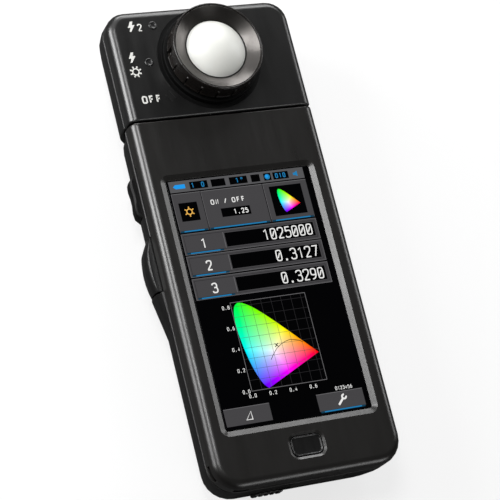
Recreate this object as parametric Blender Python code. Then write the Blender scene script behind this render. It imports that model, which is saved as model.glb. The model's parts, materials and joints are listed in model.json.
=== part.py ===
# Handheld light spectrometer, lying on its back.
# +X points to the right of its display, +Y from its bottom end to its measuring head, +Z out of the display.
# Lengths are in metres. Heights are above the flat back. Other places are from the middle of the case.

import math

import bmesh
import bpy
from mathutils import Matrix, Vector

# Whole case
CASE_WIDTH = 0.073
CASE_LENGTH = 0.183
FRONT_DEPTH = 0.007
HEAD_LENGTH = 0.0443
SPLIT_GAP = 0.0006
WALL = 0.0018
GAP = 0.0003
OVERRUN = 0.002

# Edges of the case
BODY_CORNER = 0.0100
HEAD_CORNER = 0.008
SPLIT_CORNER = 0.0008
REAR_SPLIT_CORNER = 0.005
FACE_FILLET = 0.0035
SPLIT_BEVEL = 0.0005
SEAM_BEVEL = 0.00025
BACK_LEDGE = 0.003
BACK_INSET = 0.0132
BODY_END_INSET = 0.0028
HEAD_END_INSET = 0.0132
BODY_CORNER_GROWTH_SHARE = -0.2
HEAD_CORNER_GROWTH_SHARE = 0.7

# Smoothness of round shapes, in steps or sides
CORNER_STEPS = 6
SMALL_CORNER_STEPS = 3
FILLET_STEPS = 5
BACK_STEPS = 6
ROUND_SIDES = 48
INNER_SIDES = 28
SMALL_SIDES = 20
SHARP_ANGLE = math.radians(35)

# Thumb rest that swells out of the left side under the measuring button
THUMB_SWELL = 0.0028
THUMB_LENGTH = 0.0155
THUMB_STATIONS = 2

# Display
WINDOW_SIDE_MARGIN = 0.0080
WINDOW_TOP_MARGIN = 0.0237
WINDOW_BOTTOM_MARGIN = 0.0206
WINDOW_CORNER = 0.0012
WINDOW_BEVEL_WIDTH = 0.0020
WINDOW_BEVEL_DEPTH = 0.0008
GLASS_THICKNESS = 0.0012
LCD_SIDE_OVERLAP = 0.0024
LCD_END_OVERLAP = 0.0025
LCD_THICKNESS = 0.0031
LCD_REST = 0.0018

# Main board
BOARD_SIDE_MARGIN = 0.0055
BOARD_TOP_MARGIN = 0.0209
BOARD_BOTTOM_MARGIN = 0.0047
BOARD_REST = 0.00025
BOARD_THICKNESS = 0.0016
SHIELD_WIDTH = 0.030
SHIELD_LENGTH_SHARE = 0.5417
SHIELD_DEPTH = 0.0026
SHIELD_PLACE_SHARE = 0.375
PROCESSOR_SIDE = 0.014
PROCESSOR_HEIGHT = 0.0011
PROCESSOR_PLACE = 0.056

# Menu button under the display
MENU_WIDTH = 0.0123
MENU_LENGTH = 0.0078
MENU_PLACE = 0.0113
MENU_CORNER = 0.0024
MENU_BEVEL = 0.0009
MENU_BEVEL_DEPTH = 0.0005
MENU_SINK = 0.00035
MENU_RIM = 0.0004
MENU_RIM_HEIGHT = 0.00025
MENU_FLANGE = 0.0012
MENU_FLANGE_THICKNESS = 0.0011
MENU_PLUNGER_RADIUS = 0.0015
MENU_TRAVEL = 0.0004
SWITCH_SIDE = 0.0060
SWITCH_HEIGHT = 0.0014

# Buttons on the sides. Each one's place is how far its bottom end lies from the split.
MEASURE_PLACE = 0.0625
MEASURE_LENGTH = 0.0206
MEASURE_BASE = 0.0064
MEASURE_PROUD = 0.0039
MEASURE_TRAVEL = 0.0006
MEMORY_PLACE = 0.0333
MEMORY_LENGTH = 0.0162
MEMORY_BASE = 0.0090
MEMORY_TOP = 0.0170
MEMORY_PROUD = 0.0020
MEMORY_TRAVEL = 0.0005
POWER_PLACE = 0.0289
POWER_LENGTH = 0.0100
POWER_BASE = 0.0105
POWER_TOP = 0.0160
POWER_PROUD = 0.0008
POWER_TRAVEL = 0.0005
BUTTON_ROOT = 0.0034
BUTTON_FLANGE = 0.0024
BUTTON_FLANGE_THICKNESS = 0.0009
BUTTON_FLANGE_BASE = 0.0112
BUTTON_FLANGE_TOP = 0.0176
SIDE_BOARD_THICKNESS = 0.0012
SIDE_SWITCH_HEIGHT = 0.0012
SIDE_SWITCH_SIDE = 0.0050
SIDE_BOARD_OVERHANG = 0.0020

# Finger scoop in the front shell beside the memory button
SCOOP_RADIUS = 0.0020
SCOOP_OFFSET = 0.0011
SCOOP_OVERHANG = 0.0015

# Strap eyelet through the bottom left corner
EYELET_LENGTH = 0.0057
EYELET_HEIGHT = 0.0024
EYELET_LIFT = 0.0012
EYELET_BAR_WIDTH = 0.0070
EYELET_BAR_LENGTH = 0.0048
EYELET_WALL = 0.0014

# Battery bay: two round cells side by side, one turned end for end
CELL_RADIUS = 0.00725
CELL_LENGTH = 0.0505
CELL_NUB_RADIUS = 0.00275
CELL_NUB_HEIGHT = 0.0011
CELL_SPACING = 0.0150
CELL_HEIGHT = 0.0094
BAY_PLACE = 0.0137
COIL_ROOM = 0.0034
CONTACT_THICKNESS = 0.0005
CONTACT_SIDE = 0.0080
COIL_RADIUS = 0.0032
COIL_WIRE_RADIUS = 0.0003
COIL_PITCH = 0.00115
COIL_POINTS = 10
TRAY_WALL = 0.0010
TRAY_RIM = 0.0040

# Battery door, with its thumb latch at the bottom end
DOOR_WIDTH = 0.0400
DOOR_LAP = 0.0012
DOOR_RISE = 0.0126
DOOR_TRAVEL = 0.009
DOOR_TAB_WIDTH = 0.0045
DOOR_TAB_PLACE = 0.0135
DOOR_TAB_REACH = 0.0023
DOOR_TAB_ROOT = 0.0030
DOOR_TAB_THICKNESS = 0.0009
DOOR_GROOVES = 4
DOOR_GROOVE_LENGTH = 0.016
DOOR_GROOVE_WIDTH = 0.0010
DOOR_GROOVE_DEPTH = 0.0005
DOOR_GROOVE_STEP = 0.0022
DOOR_GROOVE_PLACE = 0.0062
LATCH_MARGIN = 0.0012
LATCH_WIDTH = 0.0118
LATCH_HEIGHT = 0.0040
LATCH_BASE = 0.0082
LATCH_PROUD = 0.0008
LATCH_DEPTH = 0.0034
LATCH_TRAVEL = 0.0025
LATCH_EDGE = 0.0007
LATCH_RIBS = 4
LATCH_RIB_STEP = 0.0022
LATCH_RIB_WIDTH = 0.0009
LATCH_RIB_DEPTH = 0.0004

# USB socket and its rubber cover at the bottom end
USB_COVER_LEFT = -0.0047
USB_COVER_WIDTH = 0.0207
USB_COVER_DROP = 0.0066
USB_COVER_HEIGHT = 0.0053
USB_COVER_THICKNESS = 0.0010
USB_HINGE_RADIUS = 0.0009
USB_WIDTH = 0.0078
USB_HEIGHT = 0.0037
USB_DEPTH = 0.0085
USB_SHEET = 0.0004
USB_TONGUE_HEIGHT = 0.0010

# Flash sync terminal and its pull-off cap on the right side
SYNC_PLACE = 0.0465
SYNC_HEIGHT = 0.0130
SYNC_RADIUS = 0.0030
SYNC_BORE_RADIUS = 0.0017
SYNC_BORE_DEPTH = 0.0040
SYNC_LENGTH = 0.0075
SYNC_CAP_RADIUS = 0.0042
SYNC_CAP_THICKNESS = 0.0011
SYNC_PLUG_LENGTH = 0.0030
SYNC_PULL = 0.0050

# Tripod bush in the back
BUSH_SHARE = 0.4935
BUSH_RADIUS = 0.0050
BUSH_HOLE_RADIUS = 0.003175
BUSH_HOLE_DEPTH = 0.0085
BUSH_LENGTH = 0.0100
BUSH_RECESS = 0.00015
BUSH_BOSS_WALL = 0.0016

# Case screws. A margin is from the case's side, and a place from the nearer end of the body or head.
SCREW_HEAD_RADIUS = 0.0020
SCREW_HEAD_HEIGHT = 0.0014
SCREW_RADIUS = 0.0010
SCREW_SINK = 0.0040
SCREW_BITE = 0.0040
SCREW_SLOT = 0.0006
BOSS_RADIUS = 0.0029
BOSS_HOLE_RADIUS = 0.0014
BODY_LOW_MARGIN = 0.0110
BODY_LOW_PLACE = 0.0142
BODY_HIGH_MARGIN = 0.0085
BODY_HIGH_PLACE = 0.0099
HEAD_LOW_MARGIN = 0.0080
HEAD_LOW_PLACE = 0.0071
HEAD_HIGH_MARGIN = 0.0095
HEAD_HIGH_PLACE = 0.0090

# Head swivel
SWIVEL_HEIGHT = 0.0135
SHAFT_RADIUS = 0.0047
SHAFT_BORE_RADIUS = 0.0035
SHAFT_FLANGE_RADIUS = 0.0085
SHAFT_FLANGE_THICKNESS = 0.0016
BEARING_WALL = 0.0009
BEARING_FLANGE_RADIUS = 0.0080
BEARING_FLANGE_THICKNESS = 0.0013
RETAINER_RADIUS = 0.0070
RETAINER_THICKNESS = 0.0018
SHAFT_TAIL = 0.0010
RIBBON_WIDTH = 0.0050
RIBBON_THICKNESS = 0.0004
RIBBON_OVERHANG = 0.0030

# Receptor: seat, selection ring, reflector cone and opal dome, each drawn in from the one round it
SEAT_RADIUS = 0.0196
SEAT_THICKNESS = 0.0021
SEAT_BEVEL = 0.0006
SEAT_LEDGE = 0.0014
RING_TOP = 0.0130
RING_LIP_INSET = 0.0012
RING_LIP_HEIGHT = 0.0018
RING_LIP_WIDTH = 0.0009
RING_WAIST_SHARE = 0.965
RING_SLEEVE_INSET = 0.0025
RING_SLEEVE_WALL = 0.0010
RING_SLEEVE_DEPTH = 0.0050
GRIP_COUNT = 18
GRIP_NOTCH_WIDTH = 0.0011
GRIP_NOTCH_DEPTH = 0.0006
GRIP_BASE = 0.0032
RING_TURN = math.radians(36)
INDEX_ANGLE = math.radians(178)
CONE_SPAN = 0.0048
CONE_TOP = 0.0126
CONE_MOUTH = 0.0093
CONE_SHEET = 0.0008
DOME_CLEARANCE = 0.00045
DOME_RISE = 0.0034
DOME_EDGE = 0.0012
DOME_SHOULDER = 0.00135
DOME_SPIGOT_DEPTH = 0.0020
DOME_STEPS = 6
HOLDER_CLEARANCE = 0.0007
HOLDER_BORE_ROOM = 0.0004
HOLDER_FLOOR_THICKNESS = 0.0014
HOLDER_POST_RADIUS = 0.0024

# Filter disc that the selection ring turns under the dome
DISC_THICKNESS = 0.0014
DISC_HOLE_RADIUS = 0.0021
LIGHT_INSET = 0.0010
PIPE_RADIUS = 0.0017
CLICK_BALL_RADIUS = 0.0008
CLICK_BALL_INSET = 0.00065
CLICK_BALL_STEP = 0.0001
CLICK_BALL_CLEARANCE = 0.0001
CLICK_SEGMENTS = 12

# Optical bench inside the head
BENCH_WIDTH = 0.0430
BENCH_LENGTH = 0.0260
BENCH_PLACE = 0.0046
BENCH_BASE = 0.0030
BENCH_HEIGHT = 0.0135
BENCH_WALL = 0.0014
BENCH_COVER = 0.0012
SLIT_WIDTH = 0.0100
SLIT_OPENING = 0.0004
SLIT_THICKNESS = 0.0005
GRATING_WIDTH = 0.0120
GRATING_HEIGHT = 0.0085
GRATING_THICKNESS = 0.0030
GRATING_RADIUS = 0.0300
SENSOR_BOARD_WIDTH = 0.0200
SENSOR_BOARD_HEIGHT = 0.0090
SENSOR_WIDTH = 0.0130
SENSOR_HEIGHT = 0.0032
SENSOR_DEPTH = 0.0014

# Heights, worked out from the cells up to the face
TRAY_TOP = CELL_HEIGHT + CELL_RADIUS + GAP + TRAY_WALL
BOARD_UNDERSIDE = TRAY_TOP + BOARD_REST
BOARD_FACE = BOARD_UNDERSIDE + BOARD_THICKNESS
LCD_FACE = BOARD_FACE + LCD_REST + LCD_THICKNESS
GLASS_BACK = LCD_FACE + GAP
GLASS_FACE = GLASS_BACK + GLASS_THICKNESS
CASE_DEPTH = GLASS_FACE + WINDOW_BEVEL_DEPTH
FACE_INSIDE = CASE_DEPTH - WALL
SEAM_HEIGHT = CASE_DEPTH - FRONT_DEPTH
FRONT_RIM = SEAM_HEIGHT + GAP / 2
REAR_RIM = SEAM_HEIGHT - GAP / 2
BACK_RISE = SEAM_HEIGHT - BACK_LEDGE
EYELET_BASE = SEAM_HEIGHT + EYELET_LIFT
USB_COVER_BASE = SEAM_HEIGHT - USB_COVER_DROP

# Places and widths, worked out from the sizes above
HALF_WIDTH = CASE_WIDTH / 2
HALF_LENGTH = CASE_LENGTH / 2
SPLIT = HALF_LENGTH - HEAD_LENGTH
BODY_END = SPLIT - SPLIT_GAP / 2
HEAD_END = SPLIT + SPLIT_GAP / 2
WINDOW_WIDTH = CASE_WIDTH - 2 * WINDOW_SIDE_MARGIN
WINDOW_TOP_END = SPLIT - WINDOW_TOP_MARGIN
WINDOW_BOTTOM_END = WINDOW_BOTTOM_MARGIN - HALF_LENGTH
WINDOW_LENGTH = WINDOW_TOP_END - WINDOW_BOTTOM_END
WINDOW_MIDDLE = (WINDOW_TOP_END + WINDOW_BOTTOM_END) / 2
LCD_WIDTH = WINDOW_WIDTH + 2 * LCD_SIDE_OVERLAP
LCD_LENGTH = WINDOW_LENGTH + 2 * LCD_END_OVERLAP
BOARD_WIDTH = CASE_WIDTH - 2 * BOARD_SIDE_MARGIN
BOARD_TOP_END = SPLIT - BOARD_TOP_MARGIN
BOARD_BOTTOM_END = BOARD_BOTTOM_MARGIN - HALF_LENGTH
PROCESSOR_MIDDLE = BOARD_TOP_END - PROCESSOR_PLACE
MENU_MIDDLE = MENU_PLACE - HALF_LENGTH
MEASURE_END = SPLIT - MEASURE_PLACE
MEMORY_END = SPLIT - MEMORY_PLACE
POWER_END = SPLIT - POWER_PLACE
SYNC_MIDDLE = SYNC_PLACE - HALF_LENGTH
BODY_SCREW_LOW = (HALF_WIDTH - BODY_LOW_MARGIN, BODY_LOW_PLACE - HALF_LENGTH)
BODY_SCREW_HIGH = (HALF_WIDTH - BODY_HIGH_MARGIN, SPLIT - BODY_HIGH_PLACE)
HEAD_SCREW_LOW = (HALF_WIDTH - HEAD_LOW_MARGIN, SPLIT + HEAD_LOW_PLACE)
HEAD_SCREW_HIGH = (HALF_WIDTH - HEAD_HIGH_MARGIN, HALF_LENGTH - HEAD_HIGH_PLACE)
BENCH_END = SPLIT + BENCH_PLACE
HEAD_MIDDLE = HALF_LENGTH - HEAD_LENGTH / 2
BEARING_BORE_RADIUS = SHAFT_RADIUS + GAP
BEARING_RADIUS = BEARING_BORE_RADIUS + BEARING_WALL
BAY_BOTTOM_END = BAY_PLACE - HALF_LENGTH
BAY_TOP_END = BAY_BOTTOM_END + CELL_LENGTH + COIL_ROOM + 2 * CONTACT_THICKNESS + 3 * GAP
BUSH_MIDDLE = BAY_TOP_END + (SPLIT - BAY_TOP_END) * BUSH_SHARE
BAY_TO_BOARD_TOP = BOARD_TOP_END - BAY_TOP_END
SHIELD_LENGTH = BAY_TO_BOARD_TOP * SHIELD_LENGTH_SHARE
SHIELD_MIDDLE = BAY_TOP_END + BAY_TO_BOARD_TOP * SHIELD_PLACE_SHARE
DOOR_TOP_END = BAY_TOP_END + DOOR_LAP
DOOR_GROOVE_START = DOOR_TOP_END - DOOR_GROOVE_PLACE
DOOR_CUT_HALF = DOOR_WIDTH / 2 + GAP
RING_RADIUS = SEAT_RADIUS - SEAT_LEDGE
RING_LIP_RADIUS = RING_RADIUS - RING_LIP_INSET
RING_SLEEVE_RADIUS = RING_RADIUS - RING_SLEEVE_INSET
CONE_MOUTH_RADIUS = RING_LIP_RADIUS - CONE_SPAN
DOME_RADIUS = CONE_MOUTH_RADIUS - DOME_CLEARANCE
DOME_SPIGOT_RADIUS = DOME_RADIUS - DOME_SHOULDER
HOLDER_BORE_RADIUS = DOME_SPIGOT_RADIUS + HOLDER_BORE_ROOM
HOLDER_RADIUS = RING_SLEEVE_RADIUS - RING_SLEEVE_WALL - HOLDER_CLEARANCE
LIGHT_OFFSET = DOME_SPIGOT_RADIUS - LIGHT_INSET
CLICK_BALL_PLACE = RING_RADIUS - CLICK_BALL_INSET
BENCH_TOP = BENCH_BASE + BENCH_HEIGHT
DISC_UNDERSIDE = CASE_DEPTH - RING_SLEEVE_DEPTH
DISC_FACE = DISC_UNDERSIDE + DISC_THICKNESS
HOLDER_UNDERSIDE = DISC_FACE + GAP

# What each piece looks like: colour, roughness, metallic
FINISHES = {
    "satin black plastic": ((0.022, 0.021, 0.020), 0.38, 0.0),
    "textured black plastic": ((0.016, 0.016, 0.017), 0.62, 0.0),
    "glossy black plastic": ((0.012, 0.012, 0.013), 0.22, 0.0),
    "black rubber": ((0.013, 0.013, 0.014), 0.75, 0.0),
    "display glass": ((0.006, 0.006, 0.008), 0.06, 0.0),
    "opal plastic": ((0.86, 0.86, 0.84), 0.45, 0.0),
    "satin aluminium": ((0.42, 0.41, 0.40), 0.35, 1.0),
    "black anodised aluminium": ((0.03, 0.03, 0.032), 0.45, 0.8),
    "steel": ((0.55, 0.55, 0.56), 0.30, 1.0),
    "brass": ((0.62, 0.45, 0.18), 0.32, 1.0),
    "circuit board": ((0.02, 0.12, 0.06), 0.50, 0.0),
    "clear acrylic": ((0.85, 0.88, 0.90), 0.08, 0.0),
    "grey glass": ((0.10, 0.10, 0.11), 0.08, 0.0),
    "orange ribbon": ((0.45, 0.20, 0.03), 0.50, 0.0),
    "cell sleeve": ((0.10, 0.11, 0.13), 0.35, 0.2),
}


# Scene and materials


def clear_scene():
    for old in list(bpy.data.objects):
        bpy.data.objects.remove(old, do_unlink=True)


def paint(piece, finish):
    colour, roughness, metallic = FINISHES[finish]
    material = bpy.data.materials.new(f"{piece.name} {finish}")
    material.use_nodes = True
    shader = material.node_tree.nodes["Principled BSDF"]
    shader.inputs["Base Color"].default_value = (*colour, 1)
    shader.inputs["Roughness"].default_value = roughness
    shader.inputs["Metallic"].default_value = metallic
    material.diffuse_color = (*colour, 1)
    piece.data.materials.clear()
    piece.data.materials.append(material)


def empty(name, parent, place):
    """A bare pivot at a place given from the case's middle."""
    pivot = bpy.data.objects.new(name, None)
    pivot["place"] = list(place)
    bpy.context.scene.collection.objects.link(pivot)
    if parent:
        pivot.parent = parent
        place = Vector(place) - Vector(parent["place"])
    pivot.location = place
    return pivot


def mount(piece, parent, finish, origin=None):
    """Gives a piece its finish, its own origin and its parent."""
    origin = Vector(origin or parent["place"])
    piece.data.transform(Matrix.Translation(-origin))
    piece.parent = parent
    piece.location = origin - Vector(parent["place"])
    piece.data.shade_smooth()
    piece.data.set_sharp_from_angle(angle=SHARP_ANGLE)
    paint(piece, finish)
    return piece


# Plain solids, drawn from the case's middle


def solid(name, mesh_in_progress):
    bmesh.ops.recalc_face_normals(mesh_in_progress, faces=mesh_in_progress.faces)
    mesh = bpy.data.meshes.new(name)
    mesh_in_progress.to_mesh(mesh)
    mesh_in_progress.free()
    piece = bpy.data.objects.new(name, mesh)
    bpy.context.scene.collection.objects.link(piece)
    return piece


def loft(name, rings):
    """A closed solid through rings that all have as many points, capped at both ends."""
    shape = bmesh.new()
    loops = [[shape.verts.new(point) for point in ring] for ring in rings]
    for lower, upper in zip(loops, loops[1:]):
        for i in range(len(lower)):
            j = (i + 1) % len(lower)
            shape.faces.new((lower[i], lower[j], upper[j], upper[i]))
    shape.faces.new(loops[0])
    shape.faces.new(loops[-1])
    return solid(name, shape)


def box(name, low, high):
    corners = [(low[0], low[1]), (high[0], low[1]), (high[0], high[1]), (low[0], high[1])]
    return loft(name, [[(x, y, z) for x, y in corners] for z in (low[2], high[2])])


def slab(name, outline, low, high):
    """An outline in X and Y, raised from one height to another."""
    return loft(name, [[(x, y, z) for x, y in outline] for z in (low, high)])


def turned(name, profile, middle, sides=ROUND_SIDES, axis="Z"):
    """A profile of (radius, height) points turned about an axis. Heights run along the axis."""
    shape = bmesh.new()
    outline = [shape.verts.new((radius, 0, height)) for radius, height in profile]
    edges = [shape.edges.new(pair) for pair in zip(outline, outline[1:])]
    if profile[0][0] > 0 or profile[-1][0] > 0:
        edges.append(shape.edges.new((outline[-1], outline[0])))
    bmesh.ops.spin(
        shape,
        geom=outline + edges,
        axis=(0, 0, 1),
        cent=(0, 0, 0),
        angle=math.tau,
        steps=sides,
        use_merge=True,
    )
    bmesh.ops.remove_doubles(shape, verts=shape.verts, dist=OVERRUN / 1000)
    turn = {
        "Z": Matrix.Identity(4),
        "Y": Matrix.Rotation(-math.pi / 2, 4, "X"),
        "X": Matrix.Rotation(math.pi / 2, 4, "Y"),
    }[axis]
    bmesh.ops.transform(shape, matrix=Matrix.Translation(middle) @ turn, verts=shape.verts)
    return solid(name, shape)


def rod(name, radius, start, length, axis="Z", sides=SMALL_SIDES):
    return turned(name, [(0, 0), (radius, 0), (radius, length), (0, length)], start, sides, axis)


def tube(name, outer, inner, start, length, axis="Z", sides=INNER_SIDES):
    profile = [(inner, 0), (outer, 0), (outer, length), (inner, length)]
    return turned(name, profile, start, sides, axis)


def rounded(half_width, low, high, corner, steps=CORNER_STEPS, middle=0):
    """A rectangle with four equal round corners, as points in X and Y."""
    points = []
    places = (
        (middle + half_width - corner, low + corner, -math.pi / 2),
        (middle + half_width - corner, high - corner, 0),
        (middle - half_width + corner, high - corner, math.pi / 2),
        (middle - half_width + corner, low + corner, math.pi),
    )
    for x, y, first in places:
        for step in range(steps + 1):
            angle = first + math.pi / 2 * step / steps
            points.append((x + corner * math.cos(angle), y + corner * math.sin(angle)))
    return points


# Joining and cutting

MANY_CUTS_SOLVER = "MANIFOLD"


def combine(piece, others, operation, solver):
    for other in others:
        modifier = piece.modifiers.new("combine", "BOOLEAN")
        modifier.object = other
        modifier.operation = operation
        modifier.solver = solver
    bpy.context.view_layer.update()
    finished = piece.evaluated_get(bpy.context.evaluated_depsgraph_get())
    mesh = bpy.data.meshes.new_from_object(finished)
    piece.modifiers.clear()
    piece.data = mesh
    for other in others:
        bpy.data.objects.remove(other, do_unlink=True)
    return piece


def join(piece, *others, solver="EXACT"):
    return combine(piece, others, "UNION", solver)


def cut(piece, *others, solver="EXACT"):
    return combine(piece, others, "DIFFERENCE", solver)


def keep(piece, other):
    return combine(piece, [other], "INTERSECT", "EXACT")


def bevelled(piece, width):
    modifier = piece.modifiers.new("edge", "BEVEL")
    modifier.width = width
    modifier.segments = 2
    modifier.limit_method = "ANGLE"
    return join(piece)


# The case's outline at each height


def back_inset(height, wall=0):
    """How far the rounded back has drawn in at this height, outside or inside its wall."""
    share = max(0, (BACK_RISE - height) / (BACK_RISE - wall))
    return BACK_INSET * (1 - math.sqrt(max(0, 1 - share * share))) + wall


def thumb_start():
    """Where the thumb rest begins. The button's opening cuts its end square."""
    return MEASURE_END - GAP / 2


def thumb_swell(place, height):
    """The thumb rest's swelling at this place: full beside the button, gone at its far end."""
    along = (thumb_start() - place) / THUMB_LENGTH
    around = math.sqrt(max(0, math.sin(math.pi * height / REAR_RIM)))
    return THUMB_SWELL * around * (1 - along)


def thumb_rest(side, height, swell):
    """The points of the left side along the thumb rest. With no swell they lie in line with the side."""
    points = [(side, MEASURE_END, height)]
    for step in range(THUMB_STATIONS + 1):
        place = thumb_start() - THUMB_LENGTH * step / THUMB_STATIONS
        grown = thumb_swell(place, height) if swell else 0
        points.append((side - grown, place, height))
    return points


def case_ring(height, inset, low, high, low_corner, high_corner, low_drop, high_drop, swell):
    """The outline at one height, its sides drawn in by inset and its two ends by their own drops."""
    half_width = HALF_WIDTH - inset
    low = low + low_drop
    high = high - high_drop
    corners = (
        (half_width - low_corner, low + low_corner, low_corner, -math.pi / 2),
        (half_width - high_corner, high - high_corner, high_corner, 0),
        (high_corner - half_width, high - high_corner, high_corner, math.pi / 2),
        (low_corner - half_width, low + low_corner, low_corner, math.pi),
    )
    points = []
    for x, y, radius, first in corners:
        if first == math.pi and low < MEASURE_END:
            points += thumb_rest(-half_width, height, swell)
        for step in range(CORNER_STEPS + 1):
            angle = first + math.pi / 2 * step / CORNER_STEPS
            points.append((x + radius * math.cos(angle), y + radius * math.sin(angle), height))
    return points


class CaseHalf:
    """One section of the case, body or head, with its two ends. The split end is cut square across."""

    def __init__(self, low, high, corner, growth_share, end_inset, split_is_high, rear_split_corner):
        self.low = low
        self.high = high
        self.corner = corner
        self.growth_share = growth_share
        self.end_inset = end_inset
        self.split_is_high = split_is_high
        self.rear_split_corner = rear_split_corner

    def ring(self, height, inset, wall, split_drop, split_corner, swell=False):
        """The section's outline at this height, drawn in by inset and by the wall."""
        drops = (inset + wall, split_drop + wall)
        corners = (max(self.corner - inset - wall, SPLIT_CORNER), split_corner)
        if not self.split_is_high:
            drops = drops[::-1]
            corners = corners[::-1]
        swell = swell and self.split_is_high
        return case_ring(height, inset + wall, self.low, self.high, *corners, *drops, swell)

    def front_rings(self, wall):
        """From the seam up to the face."""
        rings = []
        rim_bevel = 0 if wall else SEAM_BEVEL
        face = CASE_DEPTH - wall
        rings.append(self.ring(FRONT_RIM, rim_bevel, wall, 0, SPLIT_CORNER))
        rings.append(self.ring(FRONT_RIM + SEAM_BEVEL, 0, wall, 0, SPLIT_CORNER))
        for step in range(FILLET_STEPS + 1):
            angle = math.pi / 2 * step / FILLET_STEPS
            height = face - FACE_FILLET + FACE_FILLET * math.sin(angle)
            inset = FACE_FILLET * (1 - math.cos(angle))
            drop = max(0, height - face + SPLIT_BEVEL)
            rings.append(self.ring(height, inset, wall, drop, SPLIT_CORNER))
        return rings

    def rear_rings(self, wall):
        """From the seam down to the back."""
        rings = []
        rim_bevel = 0 if wall else SEAM_BEVEL
        rise = BACK_RISE - wall
        rings.append(self.ring(REAR_RIM, rim_bevel, wall, 0, SPLIT_CORNER))
        rings.append(self.ring(REAR_RIM - SEAM_BEVEL, 0, wall, 0, SPLIT_CORNER, not wall))
        for step in range(BACK_STEPS + 1):
            angle = math.pi / 2 * step / BACK_STEPS
            height = BACK_RISE - rise * math.sin(angle)
            drawn_in = 1 - math.cos(angle)
            inset = BACK_INSET * drawn_in
            end_drop = self.end_inset * drawn_in
            split_drop = max(0, SPLIT_BEVEL - height + wall)
            corner = self.corner + inset * self.growth_share
            rings.append(self.rear_ring(height, inset, wall, end_drop, split_drop, corner))
        return rings

    def rear_ring(self, height, inset, wall, end_drop, split_drop, corner):
        drops = (end_drop + wall, split_drop + wall)
        corners = (corner, self.rear_split_corner)
        if not self.split_is_high:
            drops = drops[::-1]
            corners = corners[::-1]
        swell = self.split_is_high and not wall
        return case_ring(height, inset + wall, self.low, self.high, *corners, *drops, swell)

    def front_shell(self, name):
        return loft(name, self.front_rings(WALL)[::-1] + self.front_rings(0))

    def rear_shell(self, name):
        return loft(name, self.rear_rings(WALL)[::-1] + self.rear_rings(0))

    def front_block(self, name):
        """The front half as a solid, a little inside its outer surface."""
        return loft(name, self.front_rings(WALL / 2))

    def rear_block(self, name):
        return loft(name, self.rear_rings(WALL / 2))


BODY = CaseHalf(
    -HALF_LENGTH, BODY_END, BODY_CORNER, BODY_CORNER_GROWTH_SHARE, BODY_END_INSET, True, REAR_SPLIT_CORNER
)
HEAD = CaseHalf(
    HEAD_END, HALF_LENGTH, HEAD_CORNER, HEAD_CORNER_GROWTH_SHARE, HEAD_END_INSET, False, SPLIT_CORNER
)


# Screws and their bosses


def screw_places(low, high):
    return [(side * x, y) for x, y in (low, high) for side in (-1, 1)]


def rear_bosses(places):
    """Posts inside a rear shell, each with a shoulder that the screw's head pulls on."""
    posts = []
    for x, y in places:
        posts.append(rod("post", BOSS_RADIUS, (x, y, SCREW_SINK), REAR_RIM - SCREW_SINK))
    return posts


def rear_screw_holes(places):
    holes = []
    head_room = SCREW_HEAD_RADIUS + GAP
    for x, y in places:
        holes.append(rod("bore", BOSS_HOLE_RADIUS, (x, y, -OVERRUN), CASE_DEPTH + OVERRUN))
        holes.append(rod("sink", head_room, (x, y, -OVERRUN), SCREW_SINK + WALL + OVERRUN))
    return holes


def front_bosses(places):
    posts = []
    for x, y in places:
        posts.append(rod("post", BOSS_RADIUS, (x, y, FRONT_RIM), FACE_INSIDE + WALL / 2 - FRONT_RIM))
    return posts


def front_screw_holes(places):
    depth = SCREW_BITE + GAP
    return [
        rod("bore", BOSS_HOLE_RADIUS, (x, y, FRONT_RIM - OVERRUN), depth + OVERRUN) for x, y in places
    ]


def screws(name, places, parent):
    """Pan-head screws from the back into the front shell's bosses."""
    under_head = SCREW_SINK + WALL - GAP
    tip = FRONT_RIM + SCREW_BITE
    for number, (x, y) in enumerate(places, 1):
        profile = [
            (0, under_head - SCREW_HEAD_HEIGHT),
            (SCREW_HEAD_RADIUS, under_head - SCREW_HEAD_HEIGHT),
            (SCREW_HEAD_RADIUS, under_head),
            (SCREW_RADIUS, under_head),
            (SCREW_RADIUS, tip),
            (0, tip),
        ]
        piece = turned(f"{name}_{number}", profile, (x, y, 0), SMALL_SIDES)
        half = SCREW_SLOT / 2
        reach = SCREW_HEAD_RADIUS - half
        floor = under_head - SCREW_HEAD_HEIGHT / 2
        low = under_head - SCREW_HEAD_HEIGHT - OVERRUN
        across = box("slot", (x - reach, y - half, low), (x + reach, y + half, floor))
        along = box("slot", (x - half, y - reach, low), (x + half, y + reach, floor))
        cut(piece, join(across, along))
        mount(piece, parent, "steel", (x, y, under_head))


# Body shells


def side_window(side, low, high, base, top):
    """A cutter through one side wall, for a button of these ends and heights."""
    inner = HALF_WIDTH - BACK_INSET / 2
    outer = HALF_WIDTH + MEASURE_PROUD + OVERRUN
    x = sorted((side * inner, side * outer))
    return box("window", (x[0], low - GAP, base - GAP), (x[1], high + GAP, top + GAP))


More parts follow.
